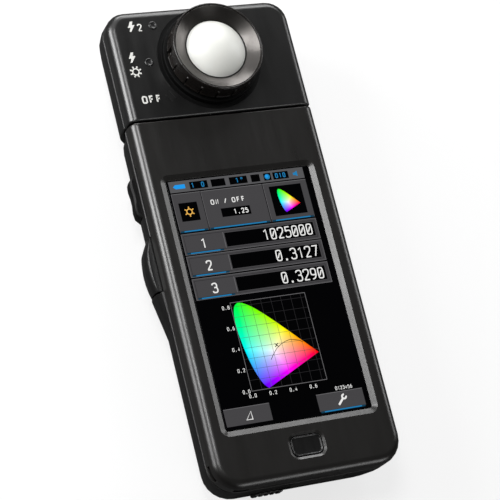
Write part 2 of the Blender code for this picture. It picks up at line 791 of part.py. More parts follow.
def front_shell(parent):
    shell = BODY.front_shell("front_shell")
    places = screw_places(BODY_SCREW_LOW, BODY_SCREW_HIGH)

    bar_x = EYELET_BAR_WIDTH - HALF_WIDTH
    bar_y = EYELET_BAR_LENGTH - HALF_LENGTH
    inner_x = bar_x + EYELET_LENGTH
    inner_y = bar_y + EYELET_LENGTH
    corner = BODY.front_block("corner")
    low = (-HALF_WIDTH - OVERRUN, -HALF_LENGTH - OVERRUN, 0)
    high = (inner_x + EYELET_WALL, inner_y + EYELET_WALL, CASE_DEPTH)
    keep(corner, box("corner room", low, high))
    join(shell, corner, *front_bosses(places))

    top = EYELET_BASE + EYELET_HEIGHT
    side_slot = box("slot", (low[0], bar_y, EYELET_BASE), (inner_x, inner_y, top))
    end_slot = box("slot", (bar_x, low[1], EYELET_BASE), (inner_x, inner_y, top))
    eyelet = join(side_slot, end_slot)

    half = WINDOW_WIDTH / 2
    ends = (WINDOW_MIDDLE - WINDOW_LENGTH / 2, WINDOW_MIDDLE + WINDOW_LENGTH / 2)
    grow = WINDOW_BEVEL_WIDTH * (WINDOW_BEVEL_DEPTH + OVERRUN) / WINDOW_BEVEL_DEPTH
    window = bevelled_opening(half, ends, WINDOW_CORNER, grow, GLASS_FACE)

    half = MENU_WIDTH / 2
    ends = (MENU_MIDDLE - MENU_LENGTH / 2, MENU_MIDDLE + MENU_LENGTH / 2)
    grow = MENU_BEVEL * (MENU_BEVEL_DEPTH + OVERRUN) / MENU_BEVEL_DEPTH
    menu = bevelled_opening(half, ends, MENU_CORNER, grow, CASE_DEPTH - MENU_BEVEL_DEPTH)

    start = (-HALF_WIDTH - SCOOP_OFFSET, MEMORY_END - SCOOP_OVERHANG, FRONT_RIM)
    scoop = rod("scoop", SCOOP_RADIUS, start, MEMORY_LENGTH + 2 * SCOOP_OVERHANG, "Y")
    cut(shell, eyelet, window, menu, scoop, *front_screw_holes(places))
    return mount(shell, parent, "satin black plastic")


def bevelled_opening(half, ends, corner, grow, bevel_start):
    """A cutter for a rounded opening through the face, whose rim opens outwards from bevel_start."""
    low, high = ends
    inner = rounded(half, low, high, corner)
    outer = rounded(half + grow, low - grow, high + grow, corner + grow)
    rings = [
        [(x, y, FACE_INSIDE - OVERRUN) for x, y in inner],
        [(x, y, bevel_start) for x, y in inner],
        [(x, y, CASE_DEPTH + OVERRUN) for x, y in outer],
    ]
    return loft("opening", rings)


def door_room(half_width, top_end, rise):
    low = (-half_width, -HALF_LENGTH - OVERRUN, -OVERRUN)
    return box("door room", low, (half_width, top_end, rise))


def rear_shell(parent):
    shell = BODY.rear_shell("rear_shell")
    places = screw_places(BODY_SCREW_LOW, BODY_SCREW_HIGH)
    bush_room = BUSH_RADIUS + GAP
    bush_boss = rod(
        "boss",
        bush_room + BUSH_BOSS_WALL,
        (0, BUSH_MIDDLE, WALL / 2),
        BUSH_LENGTH - WALL / 2,
        sides=INNER_SIDES,
    )
    join(shell, bush_boss, *rear_bosses(places), solver=MANY_CUTS_SOLVER)

    measure_top = MEASURE_END + MEASURE_LENGTH
    memory_top = MEMORY_END + MEMORY_LENGTH
    power_top = POWER_END + POWER_LENGTH
    bearing_start = (0, BODY_END - WALL - OVERRUN, SWIVEL_HEIGHT)
    sync_start = (HALF_WIDTH - SYNC_LENGTH, SYNC_MIDDLE, SYNC_HEIGHT)
    cutters = [
        side_window(-1, MEASURE_END, measure_top, MEASURE_BASE, SEAM_HEIGHT),
        side_window(-1, MEMORY_END, memory_top, MEMORY_BASE, MEMORY_TOP),
        side_window(1, POWER_END, power_top, POWER_BASE, POWER_TOP),
        door_room(DOOR_CUT_HALF, DOOR_TOP_END + GAP, DOOR_RISE + GAP),
        rod("bush hole", bush_room, (0, BUSH_MIDDLE, -OVERRUN), CASE_DEPTH, sides=INNER_SIDES),
        rod(
            "bearing hole",
            BEARING_RADIUS + GAP,
            bearing_start,
            WALL + 2 * OVERRUN,
            "Y",
            INNER_SIDES,
        ),
        rod("sync hole", SYNC_RADIUS + GAP, sync_start, SYNC_LENGTH + OVERRUN, "X"),
        usb_hole(),
        usb_recess(),
        *rear_screw_holes(places),
    ]
    cut(shell, *cutters, solver=MANY_CUTS_SOLVER)
    return mount(shell, parent, "textured black plastic")


# Display and boards


def display_glass(parent):
    half = WINDOW_WIDTH / 2 - GAP
    reach = WINDOW_LENGTH / 2 - GAP
    outline = rounded(half, WINDOW_MIDDLE - reach, WINDOW_MIDDLE + reach, WINDOW_CORNER - GAP)
    piece = slab("display_glass", outline, GLASS_BACK, GLASS_FACE)
    return mount(piece, parent, "display glass")


def lcd_module(parent):
    half = LCD_WIDTH / 2
    low = WINDOW_MIDDLE - LCD_LENGTH / 2
    high = WINDOW_MIDDLE + LCD_LENGTH / 2
    piece = box("lcd_module", (-half, low, LCD_FACE - LCD_THICKNESS), (half, high, LCD_FACE))
    return mount(piece, parent, "black anodised aluminium")


def main_board(parent):
    half = BOARD_WIDTH / 2
    corner = SCREW_HEAD_RADIUS
    outline = rounded(half, BOARD_BOTTOM_END, BOARD_TOP_END, corner, SMALL_CORNER_STEPS)
    board = slab("main_board", outline, BOARD_UNDERSIDE, BOARD_FACE)
    sunk = BOARD_THICKNESS / 2
    shield = box(
        "shield",
        (-SHIELD_WIDTH / 2, SHIELD_MIDDLE - SHIELD_LENGTH / 2, BOARD_UNDERSIDE - SHIELD_DEPTH),
        (SHIELD_WIDTH / 2, SHIELD_MIDDLE + SHIELD_LENGTH / 2, BOARD_UNDERSIDE + sunk),
    )
    chip = box(
        "chip",
        (-PROCESSOR_SIDE / 2, PROCESSOR_MIDDLE - PROCESSOR_SIDE / 2, BOARD_FACE - sunk),
        (PROCESSOR_SIDE / 2, PROCESSOR_MIDDLE + PROCESSOR_SIDE / 2, BOARD_FACE + PROCESSOR_HEIGHT),
    )
    switch = box(
        "switch",
        (-SWITCH_SIDE / 2, MENU_MIDDLE - SWITCH_SIDE / 2, BOARD_FACE - sunk),
        (SWITCH_SIDE / 2, MENU_MIDDLE + SWITCH_SIDE / 2, BOARD_FACE + SWITCH_HEIGHT),
    )
    join(board, shield, chip, switch)
    holes = []
    for x, y in screw_places(BODY_SCREW_LOW, BODY_SCREW_LOW)[:2]:
        start = (x, y, BOARD_UNDERSIDE - OVERRUN)
        holes.append(rod("hole", BOSS_RADIUS + GAP, start, BOARD_THICKNESS + 2 * OVERRUN))
    cut(board, *holes)
    return mount(board, parent, "circuit board")


# Buttons


def menu_button(parent):
    half = MENU_WIDTH / 2 - GAP
    reach = MENU_LENGTH / 2 - GAP
    top = CASE_DEPTH - MENU_SINK
    flange_top = FACE_INSIDE - GAP
    flange_base = flange_top - MENU_FLANGE_THICKNESS

    def outline(grow):
        low = MENU_MIDDLE - reach - grow
        high = MENU_MIDDLE + reach + grow
        return rounded(half + grow, low, high, MENU_CORNER - GAP + grow, SMALL_CORNER_STEPS)

    cap = slab("menu_button", outline(0), flange_base, top)
    flange = slab("flange", outline(MENU_FLANGE), flange_base, flange_top)
    plunger_end = BOARD_FACE + SWITCH_HEIGHT + MENU_TRAVEL + GAP
    plunger_height = flange_top - plunger_end
    plunger = rod("plunger", MENU_PLUNGER_RADIUS, (0, MENU_MIDDLE, plunger_end), plunger_height)
    join(cap, flange, plunger)
    cut(cap, slab("dish", outline(-MENU_RIM), top - MENU_RIM_HEIGHT, top + OVERRUN))
    return mount(cap, parent, "glossy black plastic", (0, MENU_MIDDLE, top))


# Shares of a side button's length and of how far it stands proud there
MEASURE_PROFILE_SHARES = (
    (0.00, 0.70),
    (0.12, 0.86),
    (0.28, 0.97),
    (0.42, 1.00),
    (0.55, 0.95),
    (0.66, 0.88),
    (0.74, 0.80),
    (0.87, 0.44),
    (1.00, 0.05),
)
MEMORY_PROFILE_SHARES = (
    (0.00, 0.05),
    (0.11, 0.92),
    (0.25, 1.00),
    (0.42, 0.84),
    (0.58, 0.84),
    (0.75, 1.00),
    (0.89, 0.92),
    (1.00, 0.05),
)
POWER_PROFILE_SHARES = ((0.00, 0.55), (0.08, 0.95), (0.30, 1.00), (0.70, 1.00), (0.92, 0.95), (1.00, 0.55))

# Shares of a side button's rise and of how far it stands proud there, from its lowest edge up
MEASURE_RISE_SHARES = (
    (0.00, 0.30),
    (0.14, 0.72),
    (0.35, 0.95),
    (0.60, 1.00),
    (0.82, 0.97),
    (0.95, 0.82),
    (1.00, 0.66),
)
PLAIN_RISE_SHARES = ((0.00, 0.50), (0.08, 0.93), (0.25, 1.00), (0.75, 1.00), (0.92, 0.93), (1.00, 0.50))


def measure_reach():
    """How far out the measuring button reaches at its fullest."""
    rise = REAR_RIM - GAP - MEASURE_BASE
    return max(
        HALF_WIDTH - back_inset(MEASURE_BASE + rise * height_share) + MEASURE_PROUD * out_share
        for height_share, out_share in MEASURE_RISE_SHARES
    )


def side_button(name, side, end, length, base, top, proud, profile_shares, rise_shares, parent, finish):
    """A button that swells out of the case's side, with a flange behind the wall."""
    root = HALF_WIDTH - BUTTON_ROOT
    flange_base = max(base - BUTTON_FLANGE, BUTTON_FLANGE_BASE)
    flange_top = min(top + BUTTON_FLANGE, BUTTON_FLANGE_TOP)
    flange_face = HALF_WIDTH - back_inset(flange_base, WALL) - GAP
    rings = []
    for rise, rise_share in rise_shares:
        height = base + (top - base) * rise
        surface = HALF_WIDTH - back_inset(height)
        ring = [(side * root, end + length, height), (side * root, end, height)]
        for along, profile_share in profile_shares:
            x = surface + proud * profile_share * rise_share
            ring.append((side * x, end + length * along, height))
        rings.append(ring)
    button = loft(name, rings)
    flange_back = flange_face - BUTTON_FLANGE_THICKNESS
    x = sorted((side * flange_back, side * flange_face))
    low = (x[0], end - BUTTON_FLANGE, flange_base)
    high = (x[1], end + length + BUTTON_FLANGE, flange_top)
    neck_x = sorted((side * flange_back, side * (root + GAP)))
    neck_base = max(base, flange_base)
    neck_top = min(top, flange_top)
    neck = box("neck", (neck_x[0], end, neck_base), (neck_x[1], end + length, neck_top))
    join(button, neck, box("flange", low, high))
    middle = (side * HALF_WIDTH, end + length / 2, (base + top) / 2)
    return mount(button, parent, finish, middle)


def flange_back(base):
    """How far out the inner face of a side button's flange lies."""
    flange_base = max(base - BUTTON_FLANGE, BUTTON_FLANGE_BASE)
    return HALF_WIDTH - back_inset(flange_base, WALL) - GAP - BUTTON_FLANGE_THICKNESS


def side_board(name, side, buttons, parent):
    """An upright board inside a side wall, with a push switch behind each button.
    Each button is given as its end, length, base and travel."""
    face = min(flange_back(base) - travel for _, _, base, travel in buttons) - GAP - SIDE_SWITCH_HEIGHT
    low_y = min(end for end, _, _, _ in buttons) - SIDE_BOARD_OVERHANG
    high_y = max(end + length for end, length, _, _ in buttons) + SIDE_BOARD_OVERHANG
    x = sorted((side * (face - SIDE_BOARD_THICKNESS), side * face))
    top = BUTTON_FLANGE_TOP
    board = box(name, (x[0], low_y, BUTTON_FLANGE_BASE), (x[1], high_y, top))
    half = SIDE_SWITCH_SIDE / 2
    middle = (BUTTON_FLANGE_BASE + top) / 2
    for end, length, base, travel in buttons:
        y = end + length / 2
        reach = flange_back(base) - travel - GAP
        x = sorted((side * (face - SIDE_BOARD_THICKNESS / 2), side * reach))
        join(board, box("switch", (x[0], y - half, middle - half), (x[1], y + half, middle + half)))
    return mount(board, parent, "circuit board")


def side_buttons(parent):
    side_button(
        "measuring_button",
        -1,
        MEASURE_END,
        MEASURE_LENGTH,
        MEASURE_BASE,
        REAR_RIM - GAP,
        MEASURE_PROUD,
        MEASURE_PROFILE_SHARES,
        MEASURE_RISE_SHARES,
        parent,
        "glossy black plastic",
    )
    side_button(
        "memory_button",
        -1,
        MEMORY_END,
        MEMORY_LENGTH,
        MEMORY_BASE,
        MEMORY_TOP,
        MEMORY_PROUD,
        MEMORY_PROFILE_SHARES,
        PLAIN_RISE_SHARES,
        parent,
        "satin black plastic",
    )
    side_button(
        "power_button",
        1,
        POWER_END,
        POWER_LENGTH,
        POWER_BASE,
        POWER_TOP,
        POWER_PROUD,
        POWER_PROFILE_SHARES,
        PLAIN_RISE_SHARES,
        parent,
        "satin black plastic",
    )
    left = (
        (MEASURE_END, MEASURE_LENGTH, MEASURE_BASE, MEASURE_TRAVEL),
        (MEMORY_END, MEMORY_LENGTH, MEMORY_BASE, MEMORY_TRAVEL),
    )
    side_board("left_switch_board", -1, left, parent)
    right = ((POWER_END, POWER_LENGTH, POWER_BASE, POWER_TRAVEL),)
    side_board("power_switch_board", 1, right, parent)


# Battery bay


def cell(name, side, nub_up, parent):
    """A round cell. One stands nub towards the head, the other nub towards the bottom end."""
    x = side * CELL_SPACING / 2
    direction = 1 if nub_up else -1
    bottom = BAY_BOTTOM_END + GAP + CONTACT_THICKNESS + GAP
    top = BAY_TOP_END - GAP - CONTACT_THICKNESS - GAP
    start = top - CELL_LENGTH if nub_up else bottom + CELL_LENGTH
    body = CELL_LENGTH - CELL_NUB_HEIGHT
    profile = [
        (0, 0),
        (CELL_RADIUS, 0),
        (CELL_RADIUS, direction * body),
        (CELL_NUB_RADIUS, direction * body),
        (CELL_NUB_RADIUS, direction * CELL_LENGTH),
        (0, direction * CELL_LENGTH),
    ]
    piece = turned(name, profile, (x, start, CELL_HEIGHT), INNER_SIDES, "Y")
    return mount(piece, parent, "cell sleeve", (x, start + direction * CELL_LENGTH / 2, CELL_HEIGHT))


def battery_tray(parent):
    half = CELL_SPACING / 2 + CELL_RADIUS + GAP
    low = (-half - TRAY_WALL, BAY_BOTTOM_END - TRAY_WALL, TRAY_RIM)
    high = (half + TRAY_WALL, BAY_TOP_END + TRAY_WALL, TRAY_TOP)
    tray = box("battery_tray", low, high)
    roof = TRAY_TOP - TRAY_WALL
    room = box("room", (-half, BAY_BOTTOM_END, -OVERRUN), (half, BAY_TOP_END, roof))
    cut(tray, room)
    return mount(tray, parent, "satin black plastic")


def coil(name, x, start, length):
    """A coil of wire along Y, from start towards the head."""
    turns = (length - 2 * COIL_WIRE_RADIUS) / COIL_PITCH
    count = round(turns * COIL_POINTS) + 1
    curve = bpy.data.curves.new(name, "CURVE")
    curve.dimensions = "3D"
    curve.bevel_depth = COIL_WIRE_RADIUS
    curve.bevel_resolution = 1
    curve.use_fill_caps = True
    spline = curve.splines.new("POLY")
    spline.points.add(count - 1)
    for i, point in enumerate(spline.points):
        share = i / (count - 1)
        angle = math.tau * turns * share
        y = start + COIL_WIRE_RADIUS + (length - 2 * COIL_WIRE_RADIUS) * share
        z = CELL_HEIGHT + COIL_RADIUS * math.sin(angle)
        point.co = (x + COIL_RADIUS * math.cos(angle), y, z, 1)
    wire = bpy.data.objects.new(name, curve)
    bpy.context.scene.collection.objects.link(wire)
    bpy.context.view_layer.update()
    finished = wire.evaluated_get(bpy.context.evaluated_depsgraph_get())
    mesh = bpy.data.meshes.new_from_object(finished)
    bpy.data.objects.remove(wire, do_unlink=True)
    shape = bmesh.new()
    shape.from_mesh(mesh)
    bmesh.ops.remove_doubles(shape, verts=shape.verts, dist=OVERRUN / 1000)
    return solid(name, shape)


def contacts(parent):
    half = CONTACT_SIDE / 2
    x = CELL_SPACING / 2
    low_z = CELL_HEIGHT - half
    high_z = CELL_HEIGHT + half
    top = BAY_TOP_END - GAP
    bottom = BAY_BOTTOM_END + GAP
    back = top - CONTACT_THICKNESS
    front = bottom + CONTACT_THICKNESS
    plate = box("positive_contact", (-x - half, back, low_z), (-x + half, top, high_z))
    mount(plate, parent, "steel", (-x, top, CELL_HEIGHT))

    wire = coil("negative_contact", x, back - COIL_ROOM + GAP, COIL_ROOM + CONTACT_THICKNESS / 2)
    join(wire, box("plate", (x - half, back, low_z), (x + half, top, high_z)))
    mount(wire, parent, "steel", (x, top, CELL_HEIGHT))

    length = COIL_ROOM + CONTACT_THICKNESS / 2 - GAP
    wire = coil("bridge_contact", -x, front - CONTACT_THICKNESS / 2, length)
    join(wire, box("plate", (-x - half, bottom, low_z), (x + half, front, high_z)))
    mount(wire, parent, "steel", (0, bottom, CELL_HEIGHT))


def battery_door(parent):
    """The panel over the cells. It wraps round the bottom end, and slides off that way."""
    door = BODY.rear_shell("battery_door")
    keep(door, door_room(DOOR_WIDTH / 2, DOOR_TOP_END, DOOR_RISE))

    latch_left = -DOOR_WIDTH / 2 + LATCH_MARGIN
    latch_right = latch_left + LATCH_WIDTH + LATCH_TRAVEL + 2 * GAP
    floor = -HALF_LENGTH - LATCH_PROUD + LATCH_DEPTH + GAP
    pad = BODY.rear_block("pad")
    low = (-DOOR_WIDTH / 2, -HALF_LENGTH - OVERRUN, LATCH_BASE - WALL)
    high = (latch_right + WALL, floor + WALL, DOOR_RISE)
    keep(pad, box("pad room", low, high))

    tabs = []
    low_z = WALL + GAP
    high_z = low_z + DOOR_TAB_THICKNESS
    for side in (-1, 1):
        x = side * DOOR_TAB_PLACE
        half = DOOR_TAB_WIDTH / 2
        root = DOOR_TOP_END - DOOR_TAB_ROOT
        tip = DOOR_TOP_END + DOOR_TAB_REACH
        tabs.append(box("tab", (x - half, root, low_z), (x + half, tip, high_z)))
        step = DOOR_TOP_END - GAP
        tabs.append(box("root", (x - half, root, WALL / 2), (x + half, step, high_z)))
    join(door, pad, *tabs)

    low = (latch_left, -HALF_LENGTH - OVERRUN, LATCH_BASE - GAP)
    high = (latch_right, floor, LATCH_BASE + LATCH_HEIGHT + OVERRUN)
    cutters = [box("latch room", low, high)]
    for groove in range(DOOR_GROOVES):
        y = DOOR_GROOVE_START - groove * DOOR_GROOVE_STEP
        half = DOOR_GROOVE_LENGTH / 2
        low = (-half, y - DOOR_GROOVE_WIDTH, -OVERRUN)
        cutters.append(box("groove", low, (half, y, DOOR_GROOVE_DEPTH)))
    cut(door, *cutters)
    return mount(door, parent, "textured black plastic", (0, DOOR_TOP_END, 0))


def battery_latch(parent):
    left = -DOOR_WIDTH / 2 + LATCH_MARGIN + GAP
    outer = -HALF_LENGTH - LATCH_PROUD
    low = (left, outer, LATCH_BASE)
    high = (left + LATCH_WIDTH, outer + LATCH_DEPTH, LATCH_BASE + LATCH_HEIGHT)
    latch = bevelled(box("battery_latch", low, high), LATCH_EDGE)
    ribs = []
    middle = left + LATCH_WIDTH / 2
    for rib in range(LATCH_RIBS):
        x = middle + (rib - (LATCH_RIBS - 1) / 2) * LATCH_RIB_STEP - LATCH_RIB_WIDTH / 2
        low_z = LATCH_BASE - OVERRUN
        high_z = LATCH_BASE + LATCH_HEIGHT + OVERRUN
        low = (x, outer - OVERRUN, low_z)
        ribs.append(box("rib", low, (x + LATCH_RIB_WIDTH, outer + LATCH_RIB_DEPTH, high_z)))
    cut(latch, *ribs)
    return mount(latch, parent, "satin black plastic", (middle, outer, LATCH_BASE))


# Connectors at the bottom end and on the right side


def usb_middle():
    return USB_COVER_LEFT + USB_COVER_WIDTH / 2


def usb_top():
    return BOARD_UNDERSIDE - GAP


def usb_hole():
    half = USB_WIDTH / 2 + GAP
    low = (usb_middle() - half, -HALF_LENGTH - OVERRUN, usb_top() - USB_HEIGHT - GAP)
    return box("usb hole", low, (usb_middle() + half, -HALF_LENGTH + USB_DEPTH, usb_top() + GAP))


def usb_recess():
    """A shallow place in the bottom end that the rubber cover lies in."""
    left = USB_COVER_LEFT - USB_HINGE_RADIUS - GAP
    low = (left, -HALF_LENGTH - OVERRUN, USB_COVER_BASE - GAP)
    right = USB_COVER_LEFT + USB_COVER_WIDTH + GAP
    depth = USB_COVER_THICKNESS + GAP
    high = (right, -HALF_LENGTH + depth, USB_COVER_BASE + USB_COVER_HEIGHT + GAP)
    recess = box("recess", low, high)
    start = (USB_COVER_LEFT, -HALF_LENGTH + USB_HINGE_RADIUS, low[2])
    height = USB_COVER_HEIGHT + 2 * GAP
    return join(recess, rod("hinge room", USB_HINGE_RADIUS + GAP, start, height))


def usb_socket(parent):
    half = USB_WIDTH / 2
    front = -HALF_LENGTH + WALL
    back = front + USB_DEPTH
    top = usb_top()
    x = usb_middle()
    shell = box("usb_socket", (x - half, front, top - USB_HEIGHT), (x + half, back, top))
    low = (x - half + USB_SHEET, front - OVERRUN, top - USB_HEIGHT + USB_SHEET)
    cut(shell, box("room", low, (x + half - USB_SHEET, back - USB_SHEET, top - USB_SHEET)))
    middle = top - USB_HEIGHT / 2
    reach = half - 2 * USB_SHEET
    low = (x - reach, front + USB_SHEET, middle - USB_TONGUE_HEIGHT / 2)
    high = (x + reach, back - USB_SHEET / 2, middle + USB_TONGUE_HEIGHT / 2)
    join(shell, box("tongue", low, high))
    return mount(shell, parent, "steel")


def usb_cover(parent):
    """A rubber flap that swings out about its left end."""
    hinge = (USB_COVER_LEFT, -HALF_LENGTH + USB_HINGE_RADIUS, USB_COVER_BASE)
    low = (USB_COVER_LEFT, -HALF_LENGTH, USB_COVER_BASE)
    right = USB_COVER_LEFT + USB_COVER_WIDTH
    high = (right, -HALF_LENGTH + USB_COVER_THICKNESS, USB_COVER_BASE + USB_COVER_HEIGHT)
    flap = box("usb_cover", low, high)
    join(flap, rod("hinge", USB_HINGE_RADIUS, hinge, USB_COVER_HEIGHT))
    return mount(flap, parent, "black rubber", hinge)


def sync_socket(parent):
    outer = HALF_WIDTH - back_inset(SYNC_HEIGHT) - GAP
    start = (outer - SYNC_LENGTH, SYNC_MIDDLE, SYNC_HEIGHT)
    profile = [
        (0, 0),
        (SYNC_RADIUS, 0),
        (SYNC_RADIUS, SYNC_LENGTH),
        (SYNC_BORE_RADIUS, SYNC_LENGTH),
        (SYNC_BORE_RADIUS, SYNC_LENGTH - SYNC_BORE_DEPTH),
        (0, SYNC_LENGTH - SYNC_BORE_DEPTH),
    ]
    piece = turned("sync_socket", profile, start, SMALL_SIDES, "X")
    return mount(piece, parent, "steel", start)


def sync_cap(parent):
    inner = HALF_WIDTH + GAP
    plug_start = HALF_WIDTH - back_inset(SYNC_HEIGHT) - GAP - SYNC_PLUG_LENGTH
    plug = SYNC_BORE_RADIUS - GAP
    flange = inner - plug_start
    profile = [
        (0, 0),
        (plug, 0),
        (plug, flange),
        (SYNC_CAP_RADIUS, flange),
        (SYNC_CAP_RADIUS, flange + SYNC_CAP_THICKNESS / 2),
        (SYNC_CAP_RADIUS - SYNC_CAP_THICKNESS / 2, flange + SYNC_CAP_THICKNESS),
        (0, flange + SYNC_CAP_THICKNESS),
    ]
    start = (plug_start, SYNC_MIDDLE, SYNC_HEIGHT)
    piece = turned("sync_cap", profile, start, SMALL_SIDES, "X")
    return mount(piece, parent, "black rubber", (inner, SYNC_MIDDLE, SYNC_HEIGHT))


def tripod_bush(parent):
    profile = [
        (BUSH_HOLE_RADIUS, BUSH_RECESS),
        (BUSH_RADIUS, BUSH_RECESS),
        (BUSH_RADIUS, BUSH_LENGTH),
        (0, BUSH_LENGTH),
        (0, BUSH_RECESS + BUSH_HOLE_DEPTH),
        (BUSH_HOLE_RADIUS, BUSH_RECESS + BUSH_HOLE_DEPTH),
    ]
    profile = profile[4:] + profile[:4]
    piece = turned("tripod_bush", profile, (0, BUSH_MIDDLE, 0), INNER_SIDES)
    return mount(piece, parent, "brass", (0, BUSH_MIDDLE, 0))


# Head swivel


def swivel_bearing(parent):
    """A flanged bush in the body's end wall."""
    flange_start = BODY_END - WALL - GAP - BEARING_FLANGE_THICKNESS
    profile = [
        (BEARING_BORE_RADIUS, flange_start),
        (BEARING_FLANGE_RADIUS, flange_start),
        (BEARING_FLANGE_RADIUS, flange_start + BEARING_FLANGE_THICKNESS),
        (BEARING_RADIUS, flange_start + BEARING_FLANGE_THICKNESS),
        (BEARING_RADIUS, BODY_END - SPLIT_BEVEL),
        (BEARING_BORE_RADIUS, BODY_END - SPLIT_BEVEL),
    ]
    piece = turned("swivel_bearing", profile, (0, 0, SWIVEL_HEIGHT), INNER_SIDES, "Y")
    return mount(piece, parent, "black anodised aluminium", (0, flange_start, SWIVEL_HEIGHT))


def shaft_end():
    flange_start = BODY_END - WALL - GAP - BEARING_FLANGE_THICKNESS
    return flange_start - GAP - RETAINER_THICKNESS - SHAFT_TAIL


def swivel_shaft(parent):
    """A hollow shaft. Its flange sits inside the head's end wall, and the ribbon runs through its bore."""
    flange_start = HEAD_END + WALL + GAP
    profile = [
        (SHAFT_BORE_RADIUS, shaft_end()),
        (SHAFT_RADIUS, shaft_end()),
        (SHAFT_RADIUS, flange_start),
        (SHAFT_FLANGE_RADIUS, flange_start),
        (SHAFT_FLANGE_RADIUS, flange_start + SHAFT_FLANGE_THICKNESS),
        (SHAFT_BORE_RADIUS, flange_start + SHAFT_FLANGE_THICKNESS),
    ]
    piece = turned("swivel_shaft", profile, (0, 0, SWIVEL_HEIGHT), INNER_SIDES, "Y")
    return mount(piece, parent, "steel")


def swivel_retainer(parent):
    """A collar on the shaft's inner end that keeps the head from pulling off."""
    start = (0, shaft_end() + SHAFT_TAIL, SWIVEL_HEIGHT)
    bore = SHAFT_RADIUS + GAP
    piece = tube("swivel_retainer", RETAINER_RADIUS, bore, start, RETAINER_THICKNESS, "Y")
    return mount(piece, parent, "steel", start)


def head_ribbon(parent):
    half = RIBBON_WIDTH / 2
    thick = RIBBON_THICKNESS / 2
    low = (-half, shaft_end() - RIBBON_OVERHANG, SWIVEL_HEIGHT - thick)
    high = (half, BENCH_END - GAP, SWIVEL_HEIGHT + thick)
    return mount(box("head_ribbon", low, high), parent, "orange ribbon")


# Head shells and receptor


def head_front_shell(parent):
    shell = HEAD.front_shell("head_front_shell")
    places = screw_places(HEAD_SCREW_LOW, HEAD_SCREW_HIGH)
    join(shell, *front_bosses(places))
    start = (0, HEAD_MIDDLE, FACE_INSIDE - OVERRUN)
    opening = rod("opening", RING_SLEEVE_RADIUS + GAP, start, WALL + 2 * OVERRUN, sides=ROUND_SIDES)
    cut(shell, opening, *front_screw_holes(places))
    return mount(shell, parent, "satin black plastic")


def head_rear_shell(parent):
    shell = HEAD.rear_shell("head_rear_shell")
    places = screw_places(HEAD_SCREW_LOW, HEAD_SCREW_HIGH)
    join(shell, *rear_bosses(places), solver=MANY_CUTS_SOLVER)
    start = (0, HEAD_END - OVERRUN, SWIVEL_HEIGHT)
    hole = rod("hole", SHAFT_RADIUS + GAP, start, WALL + 2 * OVERRUN, "Y", INNER_SIDES)
    cut(shell, hole, *rear_screw_holes(places), solver=MANY_CUTS_SOLVER)
    return mount(shell, parent, "textured black plastic")


def click_place():
    angle = INDEX_ANGLE + math.pi
    return CLICK_BALL_PLACE * math.cos(angle), HEAD_MIDDLE + CLICK_BALL_PLACE * math.sin(angle)


def seat_face():
    return CASE_DEPTH + GAP + SEAT_THICKNESS


def ring_seat(parent):
    """The fixed collar on the head's face that the selection ring turns on."""
    bore = RING_SLEEVE_RADIUS + GAP
    base = CASE_DEPTH + GAP
    profile = [
        (bore, base),
        (SEAT_RADIUS, base),
        (SEAT_RADIUS, seat_face() - SEAT_BEVEL),
        (SEAT_RADIUS - SEAT_BEVEL, seat_face()),
        (bore, seat_face()),
    ]
    seat = turned("ring_seat", profile, (0, HEAD_MIDDLE, 0))
    x, y = click_place()
    radius = CLICK_BALL_RADIUS + CLICK_BALL_CLEARANCE
    floor = seat_face() + CLICK_BALL_STEP - CLICK_BALL_RADIUS - radius
    cut(seat, rod("pocket", radius, (x, y, floor), SEAT_THICKNESS, sides=CLICK_SEGMENTS))
    return mount(seat, parent, "satin black plastic")


def click_ball(parent):
    """The detent ball, sunk. It clicks into a dimple under the ring at each of its three places."""
    x, y = click_place()
    middle = (x, y, seat_face() + CLICK_BALL_STEP - CLICK_BALL_RADIUS)
    shape = bmesh.new()
    bmesh.ops.create_uvsphere(
        shape, u_segments=CLICK_SEGMENTS, v_segments=CLICK_SEGMENTS // 2, radius=CLICK_BALL_RADIUS
    )
    bmesh.ops.transform(shape, matrix=Matrix.Translation(middle), verts=shape.verts)
    return mount(solid("click_ball", shape), parent, "steel", middle)


